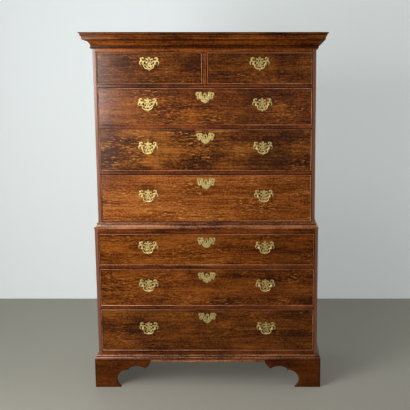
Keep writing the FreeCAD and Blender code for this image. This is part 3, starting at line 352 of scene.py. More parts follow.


# ---------------------------------------------------------------- materials
# One row for each finish: dark, middle, light and fleck colour, then the contrast of the figure, the
# amounts of flecks and mottling, the amount and width of grime and painted shade at the margins, the
# lightening of worn arrises and rubbed faces, which is also a painted highlight, and the weight of
# varnish as a share of the setting.
OAK_FINISHES = {
    "oak_short_fronts": ((0.026, 0.0052, 0.0008), (0.096, 0.0220, 0.0020), (0.236, 0.0730, 0.0090),
                         (0.44, 0.150, 0.026), 1.15, 0.7, 0.50, 0.80, 0.010, 0.35, 0.7),
    "oak_red_front": ((0.036, 0.0066, 0.0010), (0.146, 0.0330, 0.0024), (0.356, 0.1060, 0.0120),
                      (0.56, 0.200, 0.030), 1.15, 0.9, 0.42, 0.80, 0.010, 0.35, 1.1),
    "oak_gold_front": ((0.036, 0.0080, 0.0012), (0.146, 0.0380, 0.0038), (0.360, 0.1200, 0.0180),
                       (0.60, 0.240, 0.044), 1.15, 1.2, 0.60, 0.80, 0.010, 0.35, 0.9),
    "oak_tawny_front": ((0.095, 0.0200, 0.0026), (0.240, 0.0610, 0.0072), (0.450, 0.1480, 0.0300),
                        (0.64, 0.260, 0.056), 1.5, 1.2, 0.20, 0.75, 0.010, 0.35, 0.9),
    "oak_lower_fronts": ((0.036, 0.0068, 0.0010), (0.150, 0.0350, 0.0032), (0.310, 0.0880, 0.0110),
                         (0.50, 0.170, 0.028), 1.2, 0.8, 0.40, 0.80, 0.010, 0.35, 0.9),
    "oak_lowest_front": ((0.030, 0.0058, 0.0008), (0.116, 0.0280, 0.0024), (0.255, 0.0740, 0.0080),
                         (0.44, 0.150, 0.022), 1.15, 0.8, 0.42, 0.80, 0.013, 0.35, 0.8),
    "oak_rails": ((0.026, 0.0050, 0.0008), (0.190, 0.0400, 0.0050), (0.340, 0.0850, 0.0130),
                  (0.50, 0.190, 0.070), 0.9, 0.0, 0.40, 0.9, 0.004, 0.0, 0.9),
    "oak_frieze": ((0.060, 0.0110, 0.0018), (0.320, 0.0780, 0.0094), (0.480, 0.1400, 0.0220),
                   (0.60, 0.240, 0.080), 1.0, 0.0, 0.40, 0.80, 0.004, 0.0, 0.6),
    # the beads are painted lighter than the fronts: a painted highlight along their rounded faces, and
    # wear
    "oak_beads": ((0.060, 0.0120, 0.0030), (0.480, 0.1800, 0.0680), (0.780, 0.400, 0.210),
                  (0.82, 0.460, 0.270), 0.9, 0.0, 0.30, 0.0, 0.002, 0.5, 1.0),
    "oak_cornice": ((0.020, 0.0042, 0.0007), (0.165, 0.0380, 0.0046), (0.340, 0.1000, 0.0140),
                    (0.76, 0.360, 0.160), 1.1, 0.0, 0.35, 0.30, 0.003, 0.95, 0.3),
    # the waist and base mouldings are painted lighter: wear, and a painted highlight on their rounded
    # members
    "oak_worn_mouldings": ((0.036, 0.0080, 0.0018), (0.350, 0.1200, 0.0400), (0.600, 0.2600, 0.1100),
                           (0.88, 0.540, 0.330), 1.1, 0.0, 0.35, 0.30, 0.003, 1.0, 1.2),
    "oak_sides": ((0.046, 0.0100, 0.0018), (0.130, 0.0310, 0.0042), (0.260, 0.0780, 0.0120),
                  (0.38, 0.170, 0.108), 1.0, 0.0, 0.35, 0.50, 0.008, 0.45, 0.8),
    "oak_feet": ((0.026, 0.0050, 0.0008), (0.104, 0.0230, 0.0030), (0.200, 0.0540, 0.0080),
                 (0.30, 0.110, 0.026), 0.8, 0.0, 0.45, 0.40, 0.014, 0.5, 0.4),
    "oak_top": ((0.030, 0.0110, 0.0036), (0.110, 0.0400, 0.0130), (0.210, 0.0860, 0.0330),
                (0.30, 0.135, 0.060), 1.0, 0.3, 0.50, 0.50, 0.030, 0.20, 0.25),
    "dry_oak": ((0.120, 0.070, 0.036), (0.300, 0.185, 0.098), (0.460, 0.310, 0.180),
                (0.56, 0.410, 0.260), 0.6, 0.5, 0.35, 0.40, 0.010, 0.25, 0.0),
    "dry_pine": ((0.100, 0.058, 0.030), (0.250, 0.150, 0.080), (0.400, 0.260, 0.150),
                 (0.46, 0.310, 0.180), 0.6, 0.0, 0.45, 0.55, 0.012, 0.20, 0.0),
}
GRAIN_DEPTH, BRASS_DEPTH, IRON_DEPTH = 0.45 * MM, 0.30 * MM, 0.15 * MM


def new_material(name):
    """A material, its graph and its Principled shader."""
    material = bpy.data.materials.new(name)
    material.use_nodes = True
    return material, Graph(material.node_tree), material.node_tree.nodes["Principled BSDF"]


def surface_material(name, group, values, depth, **shader_inputs):
    """A Principled material fed by one group's colour, roughness and height."""
    _, graph, shader = new_material(name)
    figure = graph.node("ShaderNodeGroup")
    figure.node_tree = bpy.data.node_groups[group]
    for label, value in values.items():
        graph.feed(figure.inputs[label], value)
    bump = graph.node("ShaderNodeBump", Strength=1.0, Distance=depth, Height=figure.outputs["Height"])
    graph.wire(shader, Base_Color=figure.outputs["Color"], Roughness=figure.outputs["Roughness"],
               Normal=bump.outputs["Normal"], **shader_inputs)


def make_materials():
    """All the finishes, each with its own values in the shared groups."""
    timber = bpy.context.scene.chest_timber
    brass = bpy.context.scene.chest_brass
    oak_figure_group()
    metal_patina_group()
    for name, (*values, varnish) in OAK_FINISHES.items():
        surface_material(name, "Oak Figure", dict(zip(OAK_COLOURS + OAK_AMOUNTS, values)), GRAIN_DEPTH,
                         Coat_Weight=timber.varnish * varnish, Coat_Roughness=timber.varnish_roughness,
                         Specular_IOR_Level=0.0 if varnish else 0.2)
    surface_material("aged_brass", "Metal Patina",
                     {"Clean": brass.colour, "Tarnish": brass.tarnish, "Amount": 0.75}, BRASS_DEPTH,
                     Metallic=0.55)
    surface_material("old_iron", "Metal Patina",
                     {"Clean": (0.30, 0.28, 0.26), "Tarnish": (0.035, 0.026, 0.02), "Amount": 0.5},
                     IRON_DEPTH, Metallic=0.9)


# ---------------------------------------------------------------- shells and boards
def shells_of(node):
    """The closed shells of a CAD node, each as a list of its triangles' corner places.

    A shell's triangles follow one another, so it ends where every edge has met its twin."""
    mesh = NODES[node].data
    places = [tuple(vertex.co) for vertex in mesh.vertices]
    shells, shell, open_edges, unmatched = [], [], Counter(), 0
    for face in mesh.polygons:
        corners = [places[i] for i in face.vertices]
        shell.append(corners)
        for a, b in zip(corners, corners[1:] + corners[:1]):
            if open_edges[b, a]:
                open_edges[b, a] -= 1
                unmatched -= 1
            elif a != b:
                open_edges[a, b] += 1
                unmatched += 1
        if not unmatched:
            shells.append(shell)
            shell = []
    return shells + [shell] if shell else shells


def shell_bmesh(triangles, flat_angle=0.6):
    """One shell as an editable mesh, with its flat triangles joined to larger faces."""
    bm = bmesh.new()
    made = {}
    for corners in triangles:
        vertices = []
        for place in corners:
            if place not in made:
                made[place] = bm.verts.new(place)
            vertices.append(made[place])
        if len(set(vertices)) == 3:
            bm.faces.new(vertices)
    bmesh.ops.dissolve_limit(bm, angle_limit=math.radians(flat_angle), verts=bm.verts, edges=bm.edges)
    return bm


def shell_box(bm):
    """Lowest and highest corner of a shell."""
    columns = list(zip(*(vertex.co for vertex in bm.verts)))
    return Vector(map(min, columns)), Vector(map(max, columns))


def soften(bm, width, steps, sharp=math.radians(28)):
    """Bevels the outward edges of a shell and returns the faces of the bevels."""
    edges = [edge for edge in bm.edges
             if edge.is_manifold and edge.is_convex and edge.calc_face_angle(0.0) > sharp]
    if not edges or width <= 0:
        return set()
    made = bmesh.ops.bevel(bm, geom=edges, offset=width, offset_type="OFFSET", segments=steps,
                           profile=0.5, affect="EDGES", clamp_overlap=True, material=-1)
    return set(made["faces"])


def write_grain(bm, seed):
    """Writes where each point of a board is. The grain runs along the board's longest side."""
    low, high = shell_box(bm)
    middle, half = (low + high) / 2, (high - low) / 2
    order = sorted(range(3), key=lambda axis: -half[axis])
    dice = random.Random(seed)
    batch = Vector(dice.uniform(0.0, 9.0) for _ in range(3))
    grain_layer, half_layer, batch_layer = (
        bm.verts.layers.float_vector.new(name) for name in ("grain", "half", "batch"))
    for vertex in bm.verts:
        offset = vertex.co - middle
        vertex[grain_layer] = Vector(offset[axis] for axis in order)
        vertex[half_layer] = Vector(half[axis] for axis in order)
        vertex[batch_layer] = batch


def mark_faces(bm, name, test):
    """Writes an attribute of the faces, worked out from each face."""
    layer = bm.faces.layers.float.new(name)
    for face in bm.faces:
        face[layer] = test(face)


def shade(bm, crease=math.radians(34)):
    """Smooth faces with sharp edges where the surface turns quickly."""
    for face in bm.faces:
        face.smooth = True
    for edge in bm.edges:
        edge.smooth = edge.is_manifold and edge.calc_face_angle(0.0) < crease


def placed(name, data):
    """A new object in the scene."""
    item = bpy.data.objects.new(name, data)
    bpy.context.scene.collection.objects.link(item)
    return item


def joined_object(name, parts, materials):
    """One object from several finished shells, each with the index of its material."""
    objects = []
    for bm, index in parts:
        for face in bm.faces:
            face.material_index = index
        shade(bm)
        mesh = bpy.data.meshes.new(name)
        bm.to_mesh(mesh)
        bm.free()
        for material in materials:
            mesh.materials.append(bpy.data.materials[material])
        objects.append(placed(name, mesh))
    whole = objects[0]
    if len(objects) > 1:
        with bpy.context.temp_override(active_object=whole, selected_editable_objects=objects):
            bpy.ops.object.join()
    whole.name = whole.data.name = name
    normals = whole.modifiers.new("Face weighted normals", "WEIGHTED_NORMAL")
    normals.keep_sharp = True
    normals.mode = "FACE_AREA"
    return whole


def stand_in(piece, node):
    """The piece takes a node's place, on the node's own body."""
    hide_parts(node)
    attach(piece, BODY_OF[node])


def dress_timber(node, name, materials, choose=lambda low, high: 0, touch=lambda face, low, high: 0,
                 hidden=False, cut=""):
    """Replaces a timber node by dressed boards. choose picks the material of a shell from its box, touch
    gives 1 for a face that is painted pale, as rubbing and as a painted sheen, and -1 for one painted
    dark, as painted shade with dirt, and cut says which length of the log the boards come from."""
    timber = bpy.context.scene.chest_timber
    parts = []
    for number, triangles in enumerate(shells_of(node)):
        bm = shell_bmesh(triangles)
        low, high = shell_box(bm)
        arrises = soften(bm, timber.rough_arris if hidden else timber.arris, timber.arris_steps)
        write_grain(bm, f"{name} {number}{cut}")
        # softened arrises are painted pale too: wear, and a painted highlight
        mark_faces(bm, "wear_and_painted_light", lambda face: touch(face, low, high) or float(face in arrises))
        parts.append((bm, choose(low, high)))
    stand_in(joined_object(name, parts, materials), node)


# ---------------------------------------------------------------- operators: timber
MUNTIN_WIDTH_LIMIT = 60 * MM      # the upright between the short drawers is narrower than this
QUIRK_WIDTH = 2.2 * MM            # the widest sunk step of a moulding
TOP_BOARD_ZONE = 25 * MM          # of the case boards, only the top one reaches this close to the top


class CHEST_OT_finishes(Operator):
    """Makes the timber and metal finishes."""
    bl_idname = "chest.finishes"
    bl_label = "Finishes"

    def execute(self, context):
        make_materials()
        return {"FINISHED"}


def frieze_or_rail(low, high):
    """The rail over the short drawers and the upright between them were cut from redder oak."""
    short_low, short_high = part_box("drawer_short_left_front")
    return int(high.x - low.x < MUNTIN_WIDTH_LIMIT or low.z > (short_low.z + short_high.z) / 2)


def front_edge(face, low, high):
    """The front edges of the sides are painted pale: a painted sheen, and rubbing by hands and cloths."""
    return int(face.normal.y < -0.9 and face.calc_center_median().y < low.y + 1 * MM)


def top_or_inside(low, high):
    """The top board of the chest is stained, and the boards inside are bare."""
    return int(high.z > CAD_BOX[1][2] - TOP_BOARD_ZONE)


def soffit_or_quirk(face, low, high):
    """The underside and the narrow upright steps of a moulding are painted darker: painted shade, with old
    wax and dust.
    """
    narrow = face.calc_area() < QUIRK_WIDTH * max(high - low) and abs(face.normal.z) < 0.3
    return -1 if face.normal.z < -0.9 or narrow else 0


def show_or_block(low, high):
    """A foot's brackets stand out past the case's sides, and its glue blocks lie behind them."""
    case_low, case_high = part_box("lower_case_sides")
    outermost = max(abs(low.x), abs(high.x))
    return 0 if low.y < case_low.y - 1 * MM or outermost > case_high.x + 1 * MM else 1


class CHEST_OT_case_timber(Operator):
    """Dresses the sides, rails, boards, dust frames and backs of both cases."""
    bl_idname = "chest.case_timber"
    bl_label = "Case timber"

    def execute(self, context):
        for case in ("upper", "lower"):
            dress_timber(f"{case}_case_sides", f"{case}_sides", ["oak_sides"], touch=front_edge)
            dress_timber(f"{case}_case_rails", f"{case}_rails", ["oak_rails", "oak_frieze"],
                         choose=frieze_or_rail)
            dress_timber(f"{case}_case_boards", f"{case}_boards", ["dry_oak", "oak_top"],
                         choose=top_or_inside, hidden=True)
            dress_timber(f"{case}_case_dust_frames", f"{case}_dust_frames", ["dry_oak"], hidden=True)
            dress_timber(f"{case}_case_back_boards", f"{case}_back_boards", ["dry_pine"], hidden=True)
        return {"FINISHED"}


class CHEST_OT_mouldings(Operator):
    """Dresses the cornice, the waist moulding and the base moulding."""
    bl_idname = "chest.mouldings"
    bl_label = "Mouldings"

    def execute(self, context):
        for name, finish in (("cornice_moulding", "oak_cornice"), ("waist_moulding", "oak_worn_mouldings"),
                             ("base_moulding", "oak_worn_mouldings")):
            dress_timber(name, f"{name}_oak", [finish], touch=soffit_or_quirk)
        return {"FINISHED"}


class CHEST_OT_feet(Operator):
    """Dresses the bracket feet and their glue blocks."""
    bl_idname = "chest.feet"
    bl_label = "Bracket feet"

    def execute(self, context):
        dress_timber("bracket_feet", "bracket_feet_oak", ["oak_feet", "dry_pine"], choose=show_or_block)
        return {"FINISHED"}


# The finish of each drawer front, and which length of the log its board was cut from.
FRONT_BOARDS = {
    "long_1": ("oak_red_front", 52),
    "long_2": ("oak_gold_front", 59),
    "long_3": ("oak_tawny_front", 24),
    "long_4": ("oak_lower_fronts", 50),
    "long_5": ("oak_lower_fronts", 58),
    "long_6": ("oak_lowest_front", 20),
    "short_left": ("oak_short_fronts", 5),
    "short_right": ("oak_short_fronts", 1),
}


class CHEST_OT_drawers(Operator):
    """Dresses the drawer fronts with their cock beads, and the drawer linings."""
    bl_idname = "chest.drawers"
    bl_label = "Drawers"

    def execute(self, context):
        for drawer, (finish, cut) in FRONT_BOARDS.items():
            front = f"drawer_{drawer}_front"
            middle_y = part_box(front)[1].y - FRONT_THICKNESS / 2
            centre = sum(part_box(front), Vector()) / 2

            def board_or_bead(low, high):
                return 0 if high.y > middle_y else 1

            def outer_flank(face, low, high):
                """The side of a bead that faces away from the drawer, into the gap round it, is painted
                dark: painted shade in the gap, with dirt.
                """
                axis = 0 if high.z - low.z > high.x - low.x else 2
                outward = 1 if (low + high)[axis] / 2 > centre[axis] else -1
                return -1 if board_or_bead(low, high) and face.normal[axis] * outward > 0.35 else 0

            dress_timber(front, f"front_{drawer}", [finish, "oak_beads"], choose=board_or_bead,
                         touch=outer_flank, cut=f" {cut}")
            dress_timber(f"drawer_{drawer}_box", f"lining_{drawer}", ["dry_oak"], hidden=True)
        return {"FINISHED"}


# ---------------------------------------------------------------- operators: metal
# the dark rim round a keyhole is painted shade in the tarnish colour, which widens the dark of the hole
KEYHOLE_RIM = (5 * MM, 11 * MM)   # half the width and height of the dark rim round a keyhole
LOCK_ARRIS, BOLT_ARRIS = 0.3 * MM, 0.4 * MM


def plate_tarnish_and_shade(face, keyhole):
    """A plate keeps its colour on the filed rim, which also serves as a painted highlight, dulls on its
    flat face, and is dark in its piercings and, as painted shade, round its keyhole, whose middle is
    given."""
    if abs(face.normal.y) < 0.4:
        return 1.0
    if face.normal.y < -0.99:
        return 0.5
    offset = face.calc_center_median() - keyhole
    return float(abs(offset.x) < KEYHOLE_RIM[0] and abs(offset.z) < KEYHOLE_RIM[1])


def file_front_edges(bm, width):
    """Chamfers the whole front outline of a flat plate that faces -Y, piercings included."""
    front_y = shell_box(bm)[0].y
    front = [face for face in bm.faces
             if face.normal.y < -0.99 and all(vertex.co.y < front_y + 1e-5 for vertex in face.verts)]
    rim = {vertex for face in front for vertex in face.verts}
    bmesh.ops.inset_region(bm, faces=front, thickness=width, depth=0.0, use_even_offset=True,
                           use_boundary=True)
    kept = {vertex for face in front for vertex in face.verts}
    for vertex in rim - kept:
        vertex.co.y += width * 0.8


def is_plate(low, high, face_y):
    """Handle plates and escutcheons are thin and lie on the drawer's face."""
    return high.y - low.y < 3 * MM and high.y < face_y + 1 * MM


def is_lock(low, high, face_y):
    """A lock case lies behind the drawer's face, as a nut does, and is much broader."""
    return low.y > face_y + 5 * MM and high.x - low.x > 20 * MM


class CHEST_OT_brasses(Operator):
    """Dresses the handle plates, posts, nuts, escutcheons and lock cases."""
    bl_idname = "chest.brasses"
    bl_label = "Brasses and locks"

    def execute(self, context):
        for drawer in DRAWERS:
            front_low, front_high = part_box(f"drawer_{drawer}_front")
            face_y = front_high.y - FRONT_THICKNESS
            keyhole = Vector(((front_low.x + front_high.x) / 2, face_y, front_high.z - KEYHOLE_DROP))
            parts = []
            for triangles in shells_of(f"drawer_{drawer}_brasses"):
                bm = shell_bmesh(triangles)
                low, high = shell_box(bm)
                iron = is_lock(low, high, face_y)
                if is_plate(low, high, face_y):
                    file_front_edges(bm, context.scene.chest_brass.chamfer)
                    # clean rim as a painted highlight, tarnish on the flat face and in piercings, painted
                    # shade round the keyhole
                    mark_faces(bm, "tarnish_and_shade", lambda face: plate_tarnish_and_shade(face, keyhole))
                elif iron:
                    soften(bm, LOCK_ARRIS, 1)
                    mark_faces(bm, "tarnish_and_shade", lambda face: 1.0 if face.normal.y < -0.5 else 0.3)
                else:
                    mark_faces(bm, "tarnish_and_shade", lambda face: 0.15)
                parts.append((bm, int(iron)))
            piece = joined_object(f"brasses_{drawer}", parts, ["aged_brass", "old_iron"])
            stand_in(piece, f"drawer_{drawer}_brasses")
            bolt = f"lock_bolt_{drawer}"
            bm = shell_bmesh(shells_of(bolt)[0])
            soften(bm, BOLT_ARRIS, 2)
            mark_faces(bm, "tarnish_and_shade", lambda face: 0.0)
            stand_in(joined_object(f"bolt_{drawer}", [(bm, 0)], ["old_iron"]), bolt)
        return {"FINISHED"}


# ---------------------------------------------------------------- geometry trees
# Right half of a bail, from its pin to its lowest point, in shares of the half spacing of its pins'
# ends and of its drop. It is the control line of a smooth spline.
BAIL_LINE = ((1.0, 0.0), (0.90, 0.0), (0.815, -0.005), (0.790, -0.06), (0.812, -0.38), (0.775, -0.70),
             (0.56, -0.93), (0.28, -1.02), (0.0, -1.04))
CAD_BAIL_RADIUS = 1.9 * MM
GEOMETRY = {"Geometry": "Geometry"}


def end_tree(graph, geometry, material):
    """Makes instances real, gives them their material and hands them out."""
    real = graph.node("GeometryNodeRealizeInstances", Geometry=geometry)
    painted = graph.node("GeometryNodeSetMaterial", Geometry=real.outputs["Geometry"], Material=material)
    graph.node("NodeGroupOutput", Geometry=painted.outputs["Geometry"])
    return graph.tree


def run_tree(source, tree, values):
    """Puts a tree on an object, sets its inputs, and gives the result as a plain mesh."""
    modifier = source.modifiers.new(tree.name, "NODES")
    modifier.node_group = tree
    for item in tree.interface.items_tree:
        if item.item_type == "SOCKET" and item.in_out == "INPUT" and item.name in values:
            modifier[item.identifier] = values[item.name]
    bpy.context.view_layer.update()
    depsgraph = bpy.context.evaluated_depsgraph_get()
    mesh = bpy.data.meshes.new_from_object(source.evaluated_get(depsgraph), depsgraph=depsgraph)
    source.modifiers.remove(modifier)
    bpy.data.objects.remove(source)
    return mesh


def bail_rod_tree():
    """A round rod along a spline, thin at its ends and swelling to its middle."""
    graph, knob = node_group("Geometry", "Bail Rod", GEOMETRY | {
        "End Radius": "Float", "Middle Radius": "Float", "Steps Along": "Int", "Steps Round": "Int",
        "Material": "Material"}, GEOMETRY)
    line = graph.node("GeometryNodeResampleCurve", Curve=knob["Geometry"], Count=knob["Steps Along"])
    turn = graph.times(graph.node("GeometryNodeSplineParameter").outputs["Factor"], math.pi)
    bulge = graph.math("POWER", graph.math("SINE", turn), 1.6)
    swell = graph.times(bulge, graph.math("SUBTRACT", knob["Middle Radius"], knob["End Radius"]))
    circle = graph.node("GeometryNodeCurvePrimitiveCircle", Radius=1.0, Resolution=knob["Steps Round"])
    rod = graph.node("GeometryNodeCurveToMesh", Curve=line.outputs["Curve"],
                     Profile_Curve=circle.outputs["Curve"], Scale=graph.total(knob["End Radius"], swell),
                     Fill_Caps=True)
    smooth = graph.node("GeometryNodeSetShadeSmooth", Geometry=rod.outputs["Mesh"])
    return end_tree(graph, smooth.outputs["Geometry"], knob["Material"])


def heads_tree(name, head_nodes):
    """Sets one head on every point, turned at random about its own axis, all facing +Y. A Random Value
    node names its limits alike for every type of data, so those of the plain numbers are looked for."""
    graph, knob = node_group("Geometry", name, GEOMETRY | {
        "Head Radius": "Float", "Seed": "Int", "Material": "Material"}, GEOMETRY)
    spin = graph.node("FunctionNodeRandomValue", Seed=knob["Seed"])
    least, most = [socket for socket in spin.inputs if socket.type == "VALUE"][:2]
    least.default_value, most.default_value = 0.0, math.tau
    turn = [socket for socket in spin.outputs if socket.type == "VALUE"][0]
    turned = graph.node("ShaderNodeCombineXYZ", X=-math.pi / 2, Y=turn)
    heads = graph.node("GeometryNodeInstanceOnPoints", Points=knob["Geometry"],
                       Instance=head_nodes(graph, knob["Head Radius"]), Rotation=turned.outputs[0])
    return end_tree(graph, heads.outputs["Instances"], knob["Material"])


def forged_head(graph, radius):
    """A low six-sided cone, as a smith's hammer leaves it."""
    return graph.node("GeometryNodeMeshCone", Vertices=6, Depth=0.4 * MM, Radius_Bottom=radius,
                      Radius_Top=graph.times(radius, 0.45)).outputs["Mesh"]


def slotted_head(graph, radius):
    """A flat screw head with a filed slot."""
    thickness, slot_width, slot_depth = 1.2 * MM, 0.8 * MM, 0.5 * MM
    disc = graph.node("GeometryNodeMeshCylinder", Vertices=20, Radius=radius, Depth=thickness)
    size = graph.node("ShaderNodeCombineXYZ", X=graph.times(radius, 2.4), Y=slot_width, Z=2 * slot_depth)
    slot = graph.node("GeometryNodeMeshCube", Size=size.outputs[0])
    raised = graph.node("GeometryNodeTransform", Geometry=slot.outputs["Mesh"],
                        Translation=(0.0, 0.0, thickness / 2))
    return graph.node("GeometryNodeMeshBoolean", Mesh_1=disc.outputs["Mesh"],
                      Mesh_2=raised.outputs["Geometry"]).outputs["Mesh"]


# ---------------------------------------------------------------- operators: bails and fixings
class CHEST_OT_bails(Operator):
    """Makes the bail handles as swelling rods that hang in their posts."""
    bl_idname = "chest.bails"
    bl_label = "Bails"

    def execute(self, context):
        settings = context.scene.chest_brass
        values = {"End Radius": settings.bail_end_radius, "Middle Radius": settings.bail_middle_radius,
                  "Steps Along": 72, "Steps Round": 14, "Material": bpy.data.materials["aged_brass"]}
        tree = bail_rod_tree()
        for node in sorted(name for name in NODES if name.startswith("bail_")):
            low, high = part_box(node)
            middle, half = (low + high) / 2, (high.x - low.x) / 2
            drop = high.z - low.z - 2 * CAD_BAIL_RADIUS
            right = [(x * half, z * drop) for x, z in BAIL_LINE]
            line = [(-x, z) for x, z in right] + right[-2::-1]
            curve = bpy.data.curves.new(node, "CURVE")
            curve.dimensions = "3D"
            spline = curve.splines.new("NURBS")
            spline.points.add(len(line) - 1)
            for point, (x, z) in zip(spline.points, line):
                point.co = (middle.x + x, middle.y, high.z - CAD_BAIL_RADIUS + z, 1.0)
            spline.order_u = 4
            spline.use_endpoint_u = True
            spline.resolution_u = 12
            mesh = run_tree(placed(node, curve), tree, values)
            stand_in(placed(f"swelling_{node}", mesh), node)
        return {"FINISHED"}


NAIL_INSET = 9 * MM               # from a row of nails to the ends of the back boards
EDGE_NAIL_INSET = 4 * MM          # from an upright row of nails to the edge of the back
EDGE_NAILS = 5                    # in each upright row
SCREW_SINK = 0.3 * MM             # from the back of a drawer front to the middle of a screw head
# How far each screw of a lock is from the middle of the bolt, and below the top edge of the front.
LOCK_SCREWS = ((-27 * MM, 8 * MM), (-27 * MM, 42 * MM), (27 * MM, 8 * MM), (27 * MM, 42 * MM))


def set_heads(name, tree, places, radius, body):
    """One piece from heads on the given places."""
    mesh = bpy.data.meshes.new(name)
    mesh.from_pydata(places, [], [])
    values = {"Head Radius": radius, "Seed": bpy.context.scene.chest_fixings.seed,
              "Material": bpy.data.materials["old_iron"]}
    piece = placed(name, run_tree(placed(name, mesh), tree, values))
    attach(piece, body)


def nail_places(node):
    """Two nails at each end of every back board, and a row down each edge of the back."""
    low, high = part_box(node)
    places = []
    for shell in shells_of(node):
        left = min(corner[0] for corners in shell for corner in corners)
        right = max(corner[0] for corners in shell for corner in corners)
        inset = 0.2 * (right - left)
        places += [(x, high.y, z) for x in (left + inset, right - inset)
                   for z in (low.z + NAIL_INSET, high.z - NAIL_INSET)]
    return places + [(x, high.y, low.z + (high.z - low.z) * (step + 0.5) / EDGE_NAILS)
                     for x in (low.x + EDGE_NAIL_INSET, high.x - EDGE_NAIL_INSET)
                     for step in range(EDGE_NAILS)]


class CHEST_OT_fixings(Operator):
    """Nails the back boards and screws the locks to the drawer fronts."""
    bl_idname = "chest.fixings"
    bl_label = "Nails and screws"

    def execute(self, context):
        settings = context.scene.chest_fixings
        nails = heads_tree("Nail Heads", forged_head)
        screws = heads_tree("Screw Heads", slotted_head)
        for case in ("upper", "lower"):
            set_heads(f"{case}_back_nails", nails, nail_places(f"{case}_case_back_boards"),
                      settings.nail_radius, "case")
        for drawer in DRAWERS:
            bolt_low, bolt_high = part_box(f"lock_bolt_{drawer}")
            middle_x = (bolt_low.x + bolt_high.x) / 2
            front_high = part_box(f"drawer_{drawer}_front")[1]
            places = [(middle_x + aside, front_high.y - SCREW_SINK, front_high.z - down)
                      for aside, down in LOCK_SCREWS]
            set_heads(f"lock_screws_{drawer}", screws, places, settings.screw_radius, f"drawer_{drawer}")
        return {"FINISHED"}


# ---------------------------------------------------------------- operator: studio
# Half the width of the floor and the wall, the wall's place behind the chest, and its height.
STUDIO_REACH, WALL_Y, WALL_HEIGHT = 9.0, 1.34, 7.0
WORLD_LIT, WORLD_SEEN = (0.056, 0.058, 0.060), (0.36, 0.38, 0.38)
WARM_WHITE, WINDOW_WHITE, EDGE_WHITE, SOFT_WHITE = (
    (1.0, 0.97, 0.93), (1.0, 0.985, 0.97), (1.0, 0.97, 0.95), (1.0, 0.99, 0.97))

# Each lamp: its place, the place it faces, its width and height, its watts and its colour.
LAMPS = {
    "window_left": ((-1.38, -1.75, 1.45), (0.0, -0.2, 1.1), (1.1, 1.5), 46.0, WINDOW_WHITE),
    "fill_right": ((3.4, 0.5, 1.9), (0.5, 0.1, 0.9), (2.0, 2.2), 27.0, WARM_WHITE),
    "top_soft": ((-0.9, -1.2, 3.5), (-0.1, 0.0, 0.9), (1.8, 0.8), 25.0, SOFT_WHITE),
    "back_fill": ((0.5, 4.0, 2.6), (0.0, 0.2, 0.9), (2.6, 2.0), 70.0, SOFT_WHITE),
    "window_edge": ((-0.97, -1.70, 1.62), (-0.5, -0.25, 1.55), (0.12, 0.66), 9.0, EDGE_WHITE),
}


def area_lamp(name, place, target, size, power, colour):
    """A soft rectangular lamp that faces a target."""
    data = bpy.data.lights.new(name, "AREA")
    data.shape = "RECTANGLE"
    data.size, data.size_y = size
    data.energy = power
    data.color = colour
    lamp = placed(name, data)
    lamp.location = place
    lamp.rotation_euler = (Vector(target) - Vector(place)).to_track_quat("-Z", "Y").to_euler()
    lamp.visible_camera = False


def seen_colour(graph, lit, seen):
    """The colour lit for rays that light the object, and seen for those that show the surroundings."""
    rays = graph.node("ShaderNodeLightPath").outputs
    shown = graph.math("MAXIMUM", rays["Is Camera Ray"], rays["Is Glossy Ray"])
    shown = graph.math("MAXIMUM", shown, rays["Is Transmission Ray"])
    return graph.mix(shown, lit, seen)


def plain_material(name, colour, roughness, glow):
    """A matt finish, clear from behind, for the studio's floor and wall. The glow is only seen."""
    material, graph, shader = new_material(name)
    glow_colour = seen_colour(graph, (0.0, 0.0, 0.0), [glow * channel for channel in colour])
    graph.wire(shader, Base_Color=colour, Roughness=roughness, Specular_IOR_Level=0.2,
               Emission_Color=glow_colour, Emission_Strength=1.0)
    mix = graph.node("ShaderNodeMixShader")
    for socket, source in zip(mix.inputs, (graph.node("ShaderNodeNewGeometry").outputs["Backfacing"],
                                           shader.outputs[0],
                                           graph.node("ShaderNodeBsdfTransparent").outputs[0])):
        graph.feed(socket, source)
    graph.wire(material.node_tree.nodes["Material Output"], Surface=mix.outputs[0])
    return material


def stage_plane(name, corners, material):
    mesh = bpy.data.meshes.new(name)
    mesh.from_pydata(corners, [], [(0, 1, 2, 3)])
    mesh.materials.append(material)
    plane = placed(name, mesh)


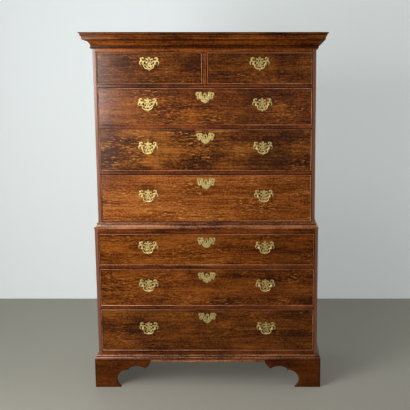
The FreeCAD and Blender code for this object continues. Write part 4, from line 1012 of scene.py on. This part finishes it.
class CHEST_OT_studio(Operator):
    """Makes the plain floor and wall, the lamps, the pale world and the camera."""
    bl_idname = "chest.studio"
    bl_label = "Studio"

    def execute(self, context):
        scene = context.scene
        settings = scene.chest_studio
        left, right = -STUDIO_REACH, STUDIO_REACH
        stage_plane("studio_floor",
                    [(left, left, 0), (right, left, 0), (right, right, 0), (left, right, 0)],
                    plain_material("floor_paint", settings.floor, roughness=0.6, glow=0.20))
        stage_plane("studio_wall",
                    [(left, WALL_Y, 0), (right, WALL_Y, 0), (right, WALL_Y, WALL_HEIGHT),
                     (left, WALL_Y, WALL_HEIGHT)],
                    plain_material("wall_paint", settings.wall, roughness=0.9, glow=0.34))
        scene.world = bpy.data.worlds.new("studio_world")
        scene.world.use_nodes = True
        graph = Graph(scene.world.node_tree)
        graph.wire(scene.world.node_tree.nodes["Background"],
                   Color=seen_colour(graph, WORLD_LIT, WORLD_SEEN))
        for name, lamp in LAMPS.items():
            area_lamp(name, *lamp)
        bpy.data.objects["window_edge"].visible_diffuse = False        # it is only seen reflected
        camera = bpy.data.cameras.new("camera")
        camera.lens = settings.lens
        camera.sensor_width = 36.0
        camera.shift_x = settings.camera_shift
        camera.shift_y = settings.camera_rise
        scene.camera = placed("camera", camera)
        scene.camera.location = (settings.camera_aside, UPPER_FRONT_Y - settings.camera_distance,
                                 settings.camera_height)
        scene.camera.rotation_euler = (math.radians(90.0 - settings.camera_pitch), 0.0, 0.0)
        scene.view_settings.view_transform = "Standard"
        return {"FINISHED"}


# ---------------------------------------------------------------- panel and registration
OPERATORS = (CHEST_OT_finishes, CHEST_OT_case_timber, CHEST_OT_mouldings, CHEST_OT_feet, CHEST_OT_drawers,
             CHEST_OT_brasses, CHEST_OT_bails, CHEST_OT_fixings, CHEST_OT_studio)
SETTINGS = {"chest_timber": TimberSettings, "chest_brass": BrassSettings,
            "chest_fixings": FixingSettings, "chest_studio": StudioSettings}


class CHEST_PT_panel(Panel):
    """Lists the steps that dress the chest, and their settings."""
    bl_idname = "CHEST_PT_panel"
    bl_label = "Chest on chest"
    bl_space_type = "VIEW_3D"
    bl_region_type = "UI"
    bl_category = "Chest"

    def draw(self, context):
        for operator in OPERATORS:
            self.layout.operator(operator.bl_idname)
        for name, group in SETTINGS.items():
            column = self.layout.column(heading=name)
            for prop in group.__annotations__:
                column.prop(getattr(context.scene, name), prop)


def register():
    for group in SETTINGS.values():
        bpy.utils.register_class(group)
    for name, group in SETTINGS.items():
        setattr(bpy.types.Scene, name, PointerProperty(type=group))
    for cls in OPERATORS + (CHEST_PT_panel,):
        bpy.utils.register_class(cls)


def unregister():
    for cls in (CHEST_PT_panel,) + OPERATORS[::-1]:
        bpy.utils.unregister_class(cls)
    for name, group in SETTINGS.items():
        delattr(bpy.types.Scene, name)
        bpy.utils.unregister_class(group)


def main():
    register()
    bpy.ops.chest.finishes()
    bpy.ops.chest.case_timber()
    bpy.ops.chest.mouldings()
    bpy.ops.chest.feet()
    bpy.ops.chest.drawers()
    bpy.ops.chest.brasses()
    bpy.ops.chest.bails()
    bpy.ops.chest.fixings()
    bpy.ops.chest.studio()


if __name__ == "__main__":
    main()
